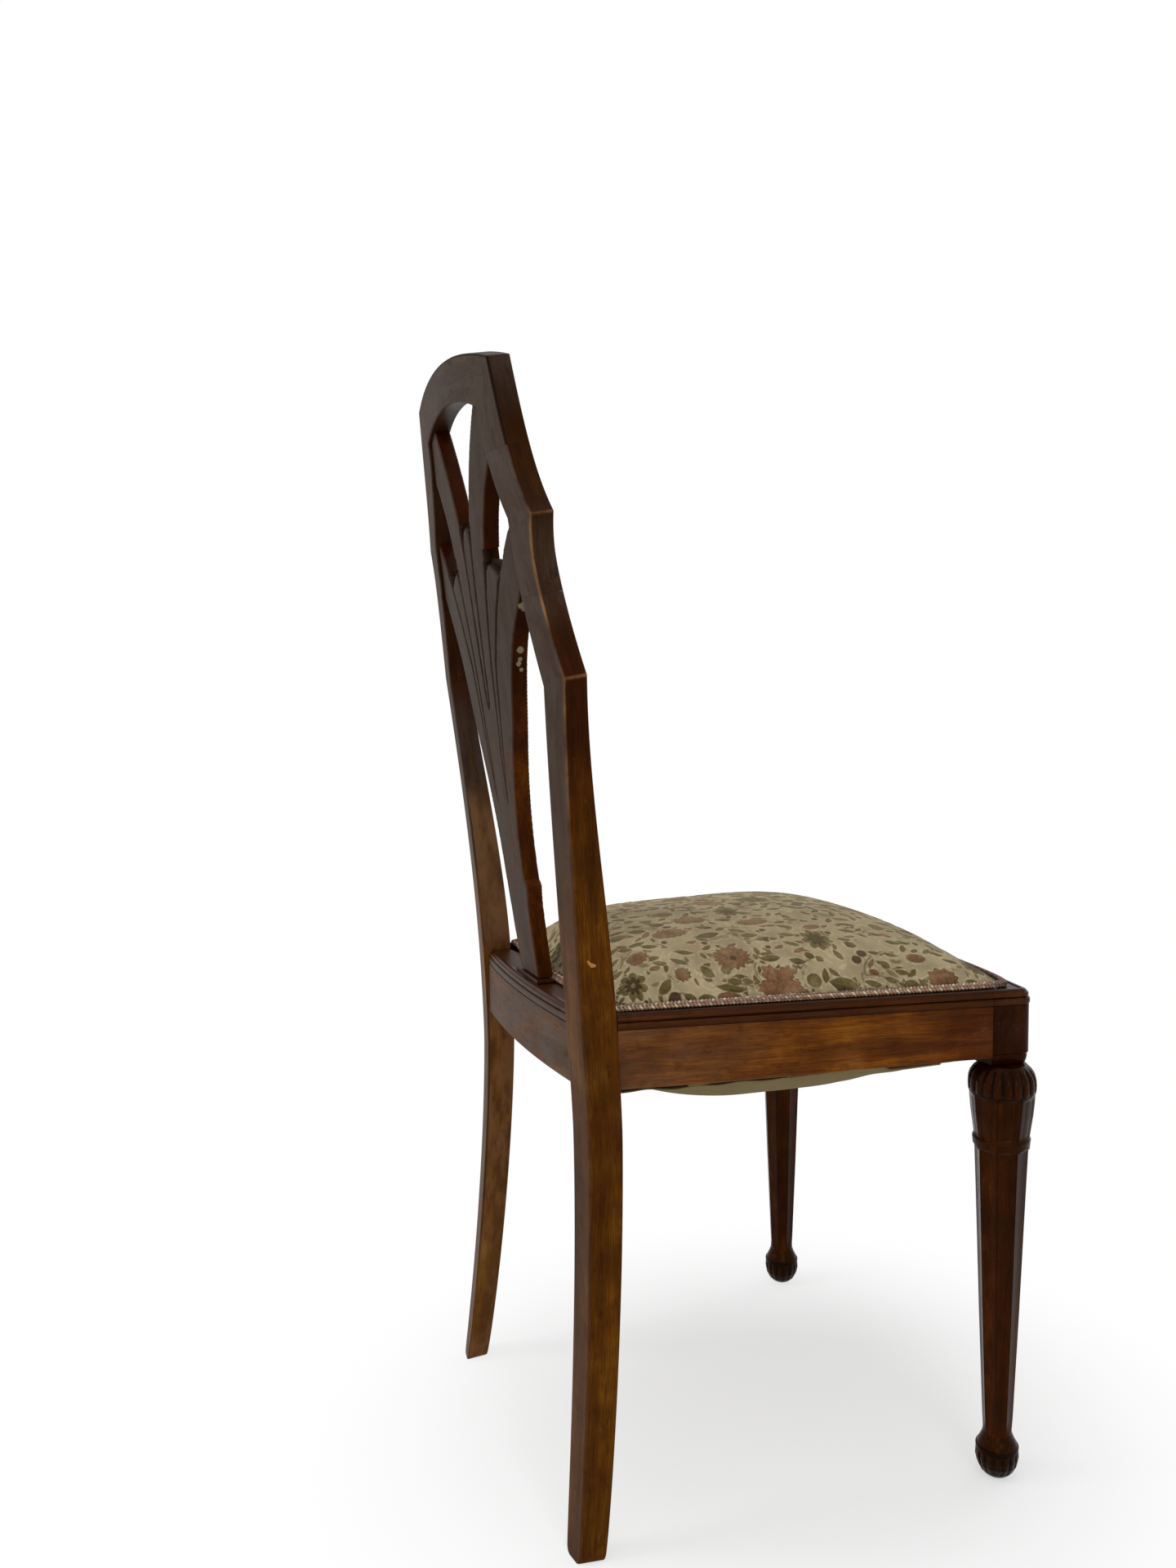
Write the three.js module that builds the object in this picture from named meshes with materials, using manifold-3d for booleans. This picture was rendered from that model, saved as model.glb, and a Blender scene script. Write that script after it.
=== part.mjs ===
// Shield back dining chair with a fan splat and a stuffed seat.
// Millimetres, +Z up. The floor is Z = 0, the sitter faces -Y and the chair's left side is +X.
import * as THREE from "three";
import { mergeVertices } from "three/addons/utils/BufferGeometryUtils.js";
import Module from "manifold-3d";

const wasm = await Module();
wasm.setup();

// Fits
const fitGap = 0.3;
const cutOverrun = 6;

// Back frame seen from behind, as half widths and heights
const footHalf = 177;
const waistHalf = 151;
const waistHeight = 430;
const shoulderHalf = 181;
const shoulderRise = 267;
const shoulderHeight = waistHeight + shoulderRise;
const neckHalf = 155;
const neckRise = 93;
const neckHeight = shoulderHeight + neckRise;
const cuspHalf = 160.5;
const cuspRise = 29;
const cuspHeight = neckHeight + cuspRise;
const crestHalf = 115.5;
const crestRise = 123;
const crestHeight = cuspHeight + crestRise;
const crownRise = 18;
const cornerHalf = 145.5;
const cornerDrop = 6;
const cornerHeight = shoulderHeight - cornerDrop;
const innerNeckHalf = 120;
const innerNeckLift = 5;
const innerNeckHeight = neckHeight + innerNeckLift;
const innerCuspHalf = 118.5;
const innerCuspLift = 1;
const innerCuspHeight = cuspHeight + innerCuspLift;
const innerTopHalf = 84.5;
const crestUndersideDrop = 17;
const crestUndersideHeight = crestHeight - crestUndersideDrop;
const innerTopDrop = 16;
const innerTopHeight = crestUndersideHeight - innerTopDrop;
const crestArchHalf = 64.5;
const crestArchDrop = 9.5;
const footWidth = 21.5;
const postWidth = 29;
const shoulderJointRise = 63;
const shoulderJointHeight = shoulderHeight + shoulderJointRise;
const crestJointDrop = 69;
const crestJointHeight = crestHeight - crestJointDrop;
const footFlarePower = 1.45;
const neckPower = 1.5;
const innerNeckPower = 1.4;
const innerTopPower = 1.9;
const bladeShoulderShare = 0.66;

// Back frame seen from the side
const footRearY = 198.5;
const legWaistRearY = 174;
const legWaistHeight = 340;
const crownRearY = 231;
const crownHeight = crestHeight + crownRise;
const legSweepPower = 1.65;
const leanLagShare = 0.8;
const dishDepth = 12;
const dishHalf = 165;
const footThick = 21;
const postThick = 29;
const shieldThick = 19;
const rakeShare = 0.155;
const postTurnShare = 0.12;

// Splat and its shoe
const splatFootHalf = 24;
const splatTopRearY = 228;
const splatBow = 2.8;
const splatThick = 14;
const splatHeelHalf = 33;
const splatHeelRise = 75.7;
const splatHeelStep = 6;
const heelCurveShares = [0.4, 0.7];
const splatWingDrop = 19;
const splatWingHeight = neckHeight - splatWingDrop;
const splatEdgeShares = [
  [0.2, 0], [0.23, 0.25], [0.254, 0.375], [0.336, 0.512],
  [0.475, 0.657], [0.631, 0.815], [0.779, 0.906], [1, 1],
];
const sideOpeningDrop = 1;
const sideOpeningBottom = neckHeight - sideOpeningDrop;
const sideOpeningInner = 45;
const sideOpeningOuter = 86;
const outerBladeBow = -2.5;
const innerBladeRootDrop = 68.4;
const innerBladeRootHeight = crestHeight - innerBladeRootDrop;
const innerBladeOuterBow = 6.5;
const innerBladeInnerBow = -4;
const kiteLift = 7;
const kiteBottom = innerCuspHeight + kiteLift;
const kiteBottomHalf = 16.4;
const shoeHeight = 9.3;
const shoeLip = 1;
const shoeFrontLip = 1;

// Seat frame in plan
const railTop = 431.4;
const railHeight = 60.4;
const railBottom = railTop - railHeight;
const mouldingWidth = 7.5;
const mouldingHeight = 12.7;
const mouldingBottom = railTop + fitGap - mouldingHeight;
const reedProud = 1;
const reedHeight = 5.6;
const reedSetback = 0.8;
const frontCentreY = -230;
const frontBow = 16;
const frontHalf = 210;
const rearRailInset = 1.5;
const rearRailCentreY = legWaistRearY - rearRailInset;
const rearRailBow = 6.7;
const rearRailBowHalf = 120;
const sideRailThick = 23;
const frontRailThick = 24;
const rearRailThick = 38;
const sideRearSpread = 3;
const sideLineRearX = waistHalf + sideRearSpread;
const sideRearSetback = 0.5;
const sideLineRearY = rearRailCentreY - rearRailThick - sideRearSetback;
const sideFrontSpread = 2;
const sideLineFrontX = frontHalf + sideFrontSpread;
const rearRailFrontBow = 9;
const railOuterInset = 0.8;
const blockWidth = 42;
const blockDepth = 36;
const blockCornerRadius = 9;

const splatFootHeight = railTop + fitGap + shoeHeight + fitGap;
const splatFootInset = 9.5;
const splatFootRearY = rearRailCentreY - splatFootInset;
const splatHeelHeight = splatFootHeight + splatHeelRise;

// Tenons, dowels, corner blocks and screws
const tenonThick = 8;
const tenonDepth = 12;
const tenonShoulder = 5;
const tenonHeight = mouldingBottom - railBottom - 2 * tenonShoulder;
const rearTenonSetback = 5;
const dowelRadius = 4;
const dowelLength = 28;
const cornerBlockLeg = 64;
const frontBlockExtra = 18;
const cornerBlockRaise = 3;
const cornerBlockDrop = 7;
const cornerBlockHeight = mouldingBottom - cornerBlockDrop - railBottom - cornerBlockRaise;
const cornerBlockBite = 6;
const screwLength = 34;
const screwBite = 12;
const screwRadius = 2;
const screwHeadRadius = 4;
const screwHeadHeight = 2.4;
const screwOffset = 20;
const screwHeightShares = [0.25, 0.75];
const frontScrewExtra = 12;
const screwTip = 4;

// Front legs
const legInset = 14.5;
const legX = frontHalf - legInset;
const legSetback = 35;
const legY = frontCentreY + legSetback;
const blockDrop = 4;
const blockBottom = railBottom - blockDrop;
const budRadius = 28;
const budNeckRadius = 19;
const budHeight = 30;
const budBottom = blockBottom - budHeight;
const cupBottomRadius = 22;
const collarRadius = 24;
const cupHeight = 39;
const collarTop = budBottom - cupHeight;
const collarHeight = 8;
const collarBottom = collarTop - collarHeight;
const taperTopRadius = 22;
const taperBottomRadius = 12.4;
const taperBottom = 42;
const footBallRadius = 18;
const footBallHeight = 38;
const ballTopShare = 0.8;
const collarShares = [0.25, 0.75];
const cupShares = [0, 0.25, 0.6, 1];
const budBellyShare = 0.42;
const budShares = [-1, -0.6, 0, 0.4, 0.7, 0.88, 1];
const footPadRadius = 8;
const lobeDepth = 1.6;
const flatDepth = 1.1;

// Upholstery
const coverInset = 16;
const coverRearInset = 31.5;
const coverRearY = rearRailCentreY - coverRearInset;
const coverRearBow = 10.5;
const coverRearBowHalf = 118;
const coverCornerDraw = 5;
const crownDepth = 50;
const coverThick = 1.6;
const coverEdgeLift = 5;
const crownSidePower = 2.6;
const crownFrontPower = 2.5;
const crownRearPower = 6;
const edgeShare = 0.015;
const hessianThick = 1;
const gimpWidth = 5;
const gimpHeight = 4;
const webbingWidth = 48;
const webbingThick = 1.6;
const strapClearance = 0.9;
const bellyDepth = 40;
const bellyPower = 3.2;
const bellyEdgePower = 1.3;
const lengthwiseStrapX = 70;
const crosswiseStrapStep = 85;
const crosswiseStrapY = -30;
const clothThick = 1;
const clothClearance = 2;
const clothInset = 8;
const clothRearBow = 29;
const clothRearBowHalf = 116;
const springEndRadius = 36;
const springWaistRadius = 24;
const springWire = 1.7;
const springTurns = 4.5;

const woods = {
  post: { color: 0x4a2e1a, roughness: 0.42 },
  splat: { color: 0x41271a, roughness: 0.42 },
  rail: { color: 0x57351a, roughness: 0.4 },
  leg: { color: 0x36190f, roughness: 0.36 },
  inner: { color: 0x9a7a4e, roughness: 0.75 },
};
const cloths = {
  velvet: { color: 0xb5a888, roughness: 0.95 },
  gimp: { color: 0x8a6350, roughness: 0.9 },
  cream: { color: 0xd8cfb8, roughness: 0.95 },
  jute: { color: 0x8f7850, roughness: 0.95 },
};
const steel = { color: 0x8c8c88, roughness: 0.4, metalness: 1 };

const chair = new THREE.Group();

function addPiece(name, geometry, finish) {
  const shaded = geometry.clone();
  shaded.computeVertexNormals();
  const mesh = new THREE.Mesh(shaded, new THREE.MeshStandardMaterial({ metalness: 0, ...finish }));
  mesh.name = name;
  chair.add(mesh);
  return mesh;
}

// Solids from points

function geometryFrom(points, triangles) {
  const geometry = new THREE.BufferGeometry();
  const places = points.flatMap((p) => [p.x, p.y, p.z]);
  geometry.setAttribute("position", new THREE.Float32BufferAttribute(places, 3));
  geometry.setIndex(triangles.flat());
  return faceOut(geometry);
}

// Turns every triangle round when the enclosed volume comes out negative.
function faceOut(geometry) {
  const place = geometry.getAttribute("position");
  const index = geometry.getIndex();
  const corners = [new THREE.Vector3(), new THREE.Vector3(), new THREE.Vector3()];
  let volume = 0;
  for (let i = 0; i < index.count; i += 3) {
    corners.forEach((corner, k) => corner.fromBufferAttribute(place, index.getX(i + k)));
    volume += corners[0].dot(corners[1].clone().cross(corners[2]));
  }
  if (volume < 0) {
    for (let i = 0; i < index.count; i += 3) {
      const second = index.getX(i + 1);
      index.setX(i + 1, index.getX(i + 2));
      index.setX(i + 2, second);
    }
  }
  return geometry;
}

// Skins equal loops of points, and closes the ends with the triangles of the first loop's outline.
function loft(loops, capTriangles) {
  const count = loops[0].length;
  const triangles = [];
  loops.slice(1).forEach((_, row) => {
    for (let k = 0; k < count; k += 1) {
      const next = (k + 1) % count;
      const a = row * count + k;
      const b = row * count + next;
      triangles.push([a, b, b + count], [a, b + count, a + count]);
    }
  });
  const last = (loops.length - 1) * count;
  const caps = capTriangles ?? Array.from({ length: count - 2 }, (_, k) => [0, k + 1, k + 2]);
  caps.forEach(([a, b, c]) => triangles.push([a, c, b], [last + a, last + b, last + c]));
  return geometryFrom(loops.flat(), triangles);
}

// Carries a section round a closed path, so it has no ends.
function ring(loops) {
  const count = loops[0].length;
  const triangles = [];
  loops.forEach((_, row) => {
    const after = (row + 1) % loops.length;
    for (let k = 0; k < count; k += 1) {
      const next = (k + 1) % count;
      triangles.push([row * count + k, row * count + next, after * count + next]);
      triangles.push([row * count + k, after * count + next, after * count + k]);
    }
  });
  return geometryFrom(loops.flat(), triangles);
}

// A board cut to an outline in the X-Z plane. place gives each corner its spot at depth 0 and 1.
function board(outline, place) {
  const faces = THREE.ShapeUtils.triangulateShape(outline, []);
  const loops = [0, 1].map((depth) => outline.map((p) => place(p.x, p.y, depth)));
  return loft(loops, faces);
}

// A closed layer between an upper and a lower surface over a grid of shares from -1 to 1.
function layer(columns, rows, upper, lower) {
  const points = [];
  for (const side of [upper, lower]) {
    for (let j = 0; j <= rows; j += 1) {
      for (let i = 0; i <= columns; i += 1) {
        points.push(side((2 * i) / columns - 1, (2 * j) / rows - 1));
      }
    }
  }
  const wide = columns + 1;
  const under = wide * (rows + 1);
  const triangles = [];
  for (let j = 0; j < rows; j += 1) {
    for (let i = 0; i < columns; i += 1) {
      const a = j * wide + i;
      triangles.push([a, a + 1, a + wide + 1], [a, a + wide + 1, a + wide]);
      triangles.push([under + a, under + a + wide + 1, under + a + 1]);
      triangles.push([under + a, under + a + wide, under + a + wide + 1]);
    }
  }
  const rim = [];
  for (let i = 0; i < columns; i += 1) rim.push(i);
  for (let j = 0; j < rows; j += 1) rim.push(j * wide + columns);
  for (let i = columns; i > 0; i -= 1) rim.push(rows * wide + i);
  for (let j = rows; j > 0; j -= 1) rim.push(j * wide);
  rim.forEach((a, k) => {
    const b = rim[(k + 1) % rim.length];
    triangles.push([a, under + b, b], [a, under + a, under + b]);
  });
  return geometryFrom(points, triangles);
}

function plainGeometry(source) {
  const geometry = source.clone();
  geometry.deleteAttribute("normal");
  geometry.deleteAttribute("uv");
  return mergeVertices(geometry);
}

function solidOf(source) {
  const geometry = plainGeometry(source);
  return new wasm.Manifold(new wasm.Mesh({
    numProp: 3,
    vertProperties: new Float32Array(geometry.getAttribute("position").array),
    triVerts: new Uint32Array(geometry.getIndex().array),
  }));
}

function geometryOf(solid) {
  const mesh = solid.getMesh();
  const geometry = new THREE.BufferGeometry();
  geometry.setAttribute("position", new THREE.BufferAttribute(new Float32Array(mesh.vertProperties), 3));
  geometry.setIndex(new THREE.BufferAttribute(new Uint32Array(mesh.triVerts), 1));
  return geometry;
}

function join(first, ...others) {
  return geometryOf(others.reduce((solid, other) => solid.add(solidOf(other)), solidOf(first)));
}

function cut(first, ...others) {
  return geometryOf(others.reduce((solid, other) => solid.subtract(solidOf(other)), solidOf(first)));
}

function mirrored(geometry) {
  const copy = geometry.clone();
  copy.scale(-1, 1, 1);
  return faceOut(plainGeometry(copy));
}

function moved(geometry, x, y, z) {
  return geometry.clone().translate(x, y, z);
}

// A plain block turned about Z, centred on a point.
function turnedBlock(size, centre, turn) {
  const geometry = new THREE.BoxGeometry(size.x, size.y, size.z);
  geometry.rotateZ(turn);
  geometry.translate(centre.x, centre.y, centre.z);
  return geometry;
}

function flatPrism(outline, bottom, top) {
  const geometry = new THREE.ExtrudeGeometry(new THREE.Shape(outline), {
    depth: top - bottom,
    bevelEnabled: false,
    steps: 1,
  });
  geometry.translate(0, 0, bottom);
  return geometry;
}

function between(low, high, count) {
  return Array.from({ length: count + 1 }, (_, k) => low + ((high - low) * k) / count);
}

function mix(a, b, share) {
  return a + (b - a) * share;
}

function ease(share) {
  const held = Math.min(1, Math.max(0, share));
  return held * held * (3 - 2 * held);
}

// Back frame outlines

function outerHalf(height) {
  if (height <= waistHeight) {
    return waistHalf + (footHalf - waistHalf) * ((waistHeight - height) / waistHeight) ** footFlarePower;
  }
  if (height <= shoulderHeight) {
    const share = (height - waistHeight) / (shoulderHeight - waistHeight);
    return waistHalf + (shoulderHalf - waistHalf) * share ** 2;
  }
  if (height <= neckHeight) {
    const share = (neckHeight - height) / (neckHeight - shoulderHeight);
    return neckHalf + (shoulderHalf - neckHalf) * share ** neckPower;
  }
  if (height <= cuspHeight) {
    const share = (height - neckHeight) / (cuspHeight - neckHeight);
    return neckHalf + (cuspHalf - neckHalf) * share ** 2;
  }
  const share = (crestHeight - height) / (crestHeight - cuspHeight);
  const spread = cuspHalf - crestHalf;
  return crestHalf + spread * (bladeShoulderShare * share + (1 - bladeShoulderShare) * share ** 4);
}

function postWidthAt(height) {
  const share = Math.min(1, height / waistHeight);
  return mix(footWidth, postWidth, Math.sqrt(share));
}

function innerHalf(height) {
  const postTop = outerHalf(cornerHeight) - postWidth;
  if (height <= cornerHeight) {
    const share = Math.max(0, (height - waistHeight) / (cornerHeight - waistHeight));
    return outerHalf(height) - postWidthAt(height) + (cornerHalf - postTop) * share ** 2;
  }
  if (height <= innerNeckHeight) {
    const share = (innerNeckHeight - height) / (innerNeckHeight - cornerHeight);
    return innerNeckHalf + (cornerHalf - innerNeckHalf) * share ** innerNeckPower;
  }
  if (height <= innerCuspHeight) {
    const share = (height - innerNeckHeight) / (innerCuspHeight - innerNeckHeight);
    return mix(innerNeckHalf, innerCuspHalf, share);
  }
  const share = Math.max(0, (innerTopHeight - height) / (innerTopHeight - innerCuspHeight));
  return innerTopHalf + (innerCuspHalf - innerTopHalf) * share ** innerTopPower;
}

function crestUnderside(x) {
  return crestUndersideHeight - crestArchDrop * (x / crestArchHalf) ** 2;
}

function crestTop(x) {
  return crownHeight - crownRise * (x / crestHalf) ** 2;
}

// Back frame depth

function rearCentreY(height) {
  if (height <= legWaistHeight) {
    const share = (legWaistHeight - height) / legWaistHeight;
    return legWaistRearY + (footRearY - legWaistRearY) * share ** legSweepPower;
  }
  const share = (height - legWaistHeight) / (crownHeight - legWaistHeight);
  return legWaistRearY + (crownRearY - legWaistRearY) * (share - leanLagShare * share * (1 - share) ** 2);
}

function rearY(x, height) {
  return rearCentreY(height) - dishDepth * (x / dishHalf) ** 2;
}

function thickAt(height) {
  if (height <= waistHeight) {
    return mix(footThick, postThick, Math.sqrt(height / waistHeight));
  }
  return mix(postThick, shieldThick, ease((height - waistHeight) / (shoulderHeight - waistHeight)));
}

// A point of the frame: depth 0 is the rear face and depth 1 the front face.
// The front face stands higher where the back leans, and further out where the posts are turned.
function framePoint(x, height, depth) {
  const thick = thickAt(height) * depth;
  const lean = rakeShare * ease((height - legWaistHeight) / (shoulderHeight - legWaistHeight));
  const turn = postTurnShare * (1 - ease((height - waistHeight) / (shoulderHeight - waistHeight)));
  const side = Math.sign(x);
  return new THREE.Vector3(x + side * turn * thick, rearY(x, height) - thick, height + lean * thick);
}

// A stretch of the side band, through pairs of outer and inner heights, on the side of positive X.
function sideBand(pairs) {
  return loft(pairs.map(([outer, inner]) => [
    framePoint(outerHalf(outer), outer, 0),
    framePoint(innerHalf(inner), inner, 0),
    framePoint(innerHalf(inner), inner, 1),
    framePoint(outerHalf(outer), outer, 1),
  ]));
}

// Seat frame in plan. The outline follows the outer faces; inset moves it inwards.

const sideSlope = (sideLineFrontX - sideLineRearX) / (sideLineRearY - frontCentreY - frontBow);
const sideTurn = Math.atan(sideSlope);

function sideX(y, inset) {
  return sideLineRearX + sideSlope * (sideLineRearY - y) - inset / Math.cos(sideTurn);
}

function frontY(x, inset) {
  return frontCentreY + frontBow * (x / frontHalf) ** 2 + inset;
}

function rearRailY(x, inset) {
  return rearRailCentreY - rearRailBow * (x / rearRailBowHalf) ** 2 - inset;
}

const frontTurn = Math.atan((2 * frontBow) / frontHalf);
const cornerCentreY = frontY(frontHalf - blockCornerRadius, 0) + blockCornerRadius / Math.cos(frontTurn);
const cornerCentreX = sideX(cornerCentreY, blockCornerRadius);
const blockRearY = frontY(frontHalf, 0) + blockDepth;
const blockInnerX = sideX(blockRearY, 0) - blockWidth;

// Stations along the outer line: a point and the way out from it.

function sideStations(fromY, toY) {
  return [fromY, toY].map((y) => ({
    x: sideX(y, 0), y, outX: Math.cos(sideTurn), outY: Math.sin(sideTurn),
  }));
}

function cornerStations(steps) {
  return between(sideTurn, frontTurn - Math.PI / 2, steps).map((angle) => ({
    x: cornerCentreX + blockCornerRadius * Math.cos(angle),
    y: cornerCentreY + blockCornerRadius * Math.sin(angle),
    outX: Math.cos(angle),
    outY: Math.sin(angle),
  }));
}

function bowStations(reachX, steps, height, slopeAt, way) {
  return between(reachX, -reachX, steps).map((x) => {
    const slope = slopeAt(x);
    const length = Math.hypot(1, slope);
    return { x, y: height(x), outX: (-way * slope) / length, outY: way / length };
  });
}

function frontStations(reachX, steps) {
  return bowStations(reachX, steps, (x) => frontY(x, 0), (x) => (2 * frontBow * x) / frontHalf ** 2, -1);
}

function rearStations(reachX, steps) {
  const slopeAt = (x) => (-2 * rearRailBow * x) / rearRailBowHalf ** 2;
  return bowStations(reachX, steps, (x) => rearRailY(x, 0), slopeAt, 1);
}

function otherSide(stations) {
  return stations.map((s) => ({ ...s, x: -s.x, outX: -s.outX })).reverse();
}

function insetOutline(stations, inset) {
  return stations.map((s) => new THREE.Vector2(s.x - s.outX * inset, s.y - s.outY * inset));
}

// Mouldings: two reeds on the outer top edge.

function mouldingProfile() {
  const profile = [[-mouldingWidth, 0], [0, 0]];
  for (const reed of [0, 1]) {
    const base = reed * (reedHeight + fitGap) + fitGap;
    const setback = reed * reedSetback;
    for (const turn of between(-Math.PI / 2, Math.PI / 2, 4)) {
      const rise = (reedHeight / 2) * (1 + Math.sin(turn));
      profile.push([reedProud * Math.cos(turn) - setback, base + rise]);
    }
  }
  profile.push([-2 * reedSetback - reedProud, mouldingHeight], [-mouldingWidth, mouldingHeight]);
  return profile;
}

function mouldingAlong(stations) {
  const profile = mouldingProfile();
  const base = mouldingBottom + fitGap;
  const loops = stations.map((s) => profile.map(([out, up]) => (
    new THREE.Vector3(s.x + s.outX * out, s.y + s.outY * out, base + up)
  )));
  const flat = profile.map(([out, up]) => new THREE.Vector2(out, up));
  return loft(loops, THREE.ShapeUtils.triangulateShape(flat, []));
}

// Back frame pieces, drawn for the side of positive X

const footSteps = between(0, waistHeight, 8);
const postSteps = between(waistHeight, shoulderHeight, 6).slice(1, -1);
const neckSteps = between(shoulderHeight, shoulderJointHeight, 4).slice(1);

function backPost() {
  return sideBand([
    ...footSteps.map((z) => [z, z]),
    ...postSteps.map((z) => [z, z]),
    [shoulderHeight, cornerHeight],
    ...neckSteps.map((z) => [z, z]),
  ]);
}

function shieldShoulder() {
  const upperSteps = between(cuspHeight, crestJointHeight - fitGap, 5).slice(1);
  return sideBand([
    [shoulderJointHeight + fitGap, shoulderJointHeight + fitGap],
    [mix(shoulderJointHeight, neckHeight, 0.5), mix(shoulderJointHeight, innerNeckHeight, 0.5)],
    [neckHeight, innerNeckHeight],
    [mix(neckHeight, cuspHeight, 0.5), mix(innerNeckHeight, innerCuspHeight, 0.5)],
    [cuspHeight, innerCuspHeight],
    ...upperSteps.map((z) => [z, z]),
  ]);
}

function crestRail() {
  const outer = between(crestJointHeight, crestHeight, 4).map((z) => new THREE.Vector2(outerHalf(z), z));
  const top = between(crestHalf, 0, 6).slice(1).map((x) => new THREE.Vector2(x, crestTop(x)));
  const under = between(0, innerTopHalf, 6).map((x) => new THREE.Vector2(x, crestUnderside(x)));
  const inner = between(innerTopHeight, crestJointHeight, 4).map((z) => new THREE.Vector2(innerHalf(z), z));
  const left = [...under, ...inner.slice(1), ...outer, ...top.slice(0, -1)];
  const right = left.slice(1).map((p) => new THREE.Vector2(-p.x, p.y)).reverse();
  return board([...left, new THREE.Vector2(0, crestTop(0)), ...right], framePoint);
}

// A dowel along the side band at a joint, as a plain rod with a chosen clearance.
function jointRod(height, clearance) {
  const centreX = (outerHalf(height) + innerHalf(height)) / 2;
  const low = height - dowelRadius;
  const high = height + dowelRadius;
  const start = framePoint((outerHalf(low) + innerHalf(low)) / 2, low, 0.5);
  const end = framePoint((outerHalf(high) + innerHalf(high)) / 2, high, 0.5);
  const centre = framePoint(centreX, height, 0.5);
  const rod = new THREE.CylinderGeometry(
    dowelRadius + clearance, dowelRadius + clearance, dowelLength + 2 * clearance, 10,
  );
  const along = end.sub(start).normalize();
  rod.applyQuaternion(new THREE.Quaternion().setFromUnitVectors(new THREE.Vector3(0, 1, 0), along));
  rod.translate(centre.x, centre.y, centre.z);
  return rod;
}

// Splat: a fan of blades fretted from one board, standing a little in front of the frame's rear face.

function splatY(x, height) {
  const share = (height - splatFootHeight) / (crownHeight - splatFootHeight);
  const line = mix(splatFootRearY, splatTopRearY, share) + 4 * splatBow * share * (1 - share);
  return line - dishDepth * (x / dishHalf) ** 2;
}

function splatPoint(x, height, depth) {
  const y = splatY(x, height) - splatThick * depth;
  const lean = rakeShare * ease((height - legWaistHeight) / (shoulderHeight - legWaistHeight));
  return new THREE.Vector3(x, y, height + lean * (rearY(x, height) - y));
}

// Points from one place to another on a parabola that stands off the straight line by bow.
function bowed(from, to, bow, steps) {
  const off = new THREE.Vector2(from.y - to.y, to.x - from.x).normalize();
  return between(0, 1, steps).map((share) => (
    from.clone().lerp(to, share).addScaledVector(off, 4 * bow * share * (1 - share))
  ));
}

function splatHalf() {
  const spot = (x, z) => new THREE.Vector2(x, z);
  const wingHalf = innerHalf(splatWingHeight) - fitGap;
  const lower = new THREE.SplineCurve(splatEdgeShares.map(([across, up]) => (
    spot(across * wingHalf, mix(splatFootHeight, splatWingHeight, up))
  )));
  const besideFrame = (z) => spot(innerHalf(z) - fitGap, z);
  const frameEdge = (low, high, steps) => between(low, high, steps).map(besideFrame);
  const underCrest = (x) => spot(x, crestUnderside(x) - fitGap);
  const crestEdge = between(innerTopHalf - fitGap, crestArchHalf, 2).map(underCrest);
  const outerBladeTop = besideFrame(innerCuspHeight);
  const sideOpeningCorners = [sideOpeningOuter, sideOpeningInner].map((x) => spot(x, sideOpeningBottom));
  return [
    ...lower.getPoints(21).slice(0, -1),
    ...frameEdge(splatWingHeight, innerCuspHeight, 3).slice(0, -1),
    ...bowed(outerBladeTop, sideOpeningCorners[0], outerBladeBow, 4),
    ...bowed(sideOpeningCorners[1], besideFrame(innerBladeRootHeight), innerBladeOuterBow, 6),
    ...frameEdge(innerBladeRootHeight, innerTopHeight - fitGap, 3).slice(1, -1),
    ...crestEdge,
    ...bowed(crestEdge.at(-1), spot(kiteBottomHalf, kiteBottom), innerBladeInnerBow, 6).slice(1),
  ];
}

// The right-hand edge steps out to a heel near the foot; the left-hand one runs straight down.
function splat() {
  const left = splatHalf();
  const heelTop = splatHeelHeight + splatHeelStep;
  const [heelOutShare, heelUpShare] = heelCurveShares;
  const curveX = mix(splatFootHalf, splatHeelHalf, heelOutShare);
  const curveZ = mix(splatFootHeight, splatHeelHeight, heelUpShare);
  const rising = left.filter((p) => p.y > heelTop || p.x > splatHeelHalf);
  const heel = [
    new THREE.Vector2(splatFootHalf, splatFootHeight),
    new THREE.Vector2(curveX, curveZ),
    new THREE.Vector2(splatHeelHalf, splatHeelHeight),
    new THREE.Vector2(rising[0].x, heelTop),
  ];
  const right = [...heel, ...rising].map((p) => new THREE.Vector2(-p.x, p.y)).reverse();
  return board([...left, ...right], splatPoint);
}

function splatShoe() {
  const front = splatFootRearY - splatThick - shoeFrontLip;
  const rear = splatFootRearY + shoeLip;
  const half = splatHeelHalf + shoeFrontLip;
  const bottom = railTop + fitGap;
  const top = splatFootHeight - fitGap;
  const section = (inset, z) => [
    new THREE.Vector3(half - inset, rear - inset, z),
    new THREE.Vector3(-half + inset, rear - inset, z),
    new THREE.Vector3(-half + inset, front, z),
    new THREE.Vector3(half - inset, front, z),
  ];
  return loft([section(0, bottom), section(0, mix(bottom, top, 0.5)), section(2 * shoeFrontLip, top)]);
}

// Seat rails: a full-width lower part and an upper part that leaves a rabbet for the moulding.

function railFrom(plan) {
  const lower = flatPrism(plan(0), railBottom, mouldingBottom);
  const upper = flatPrism(plan(mouldingWidth + fitGap), mouldingBottom - fitGap, railTop);
  return join(lower, upper);
}

function sideRailPlan(inset) {
  const rear = sideLineRearY + tenonDepth + fitGap;
  const front = blockRearY + fitGap;
  const outer = railOuterInset + inset;
  const inner = railOuterInset + sideRailThick;
  return [
    new THREE.Vector2(sideX(rear, outer), rear),
    new THREE.Vector2(sideX(rear, inner), rear),
    new THREE.Vector2(sideX(front, inner), front),
    new THREE.Vector2(sideX(front, outer), front),
  ];
}

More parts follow.
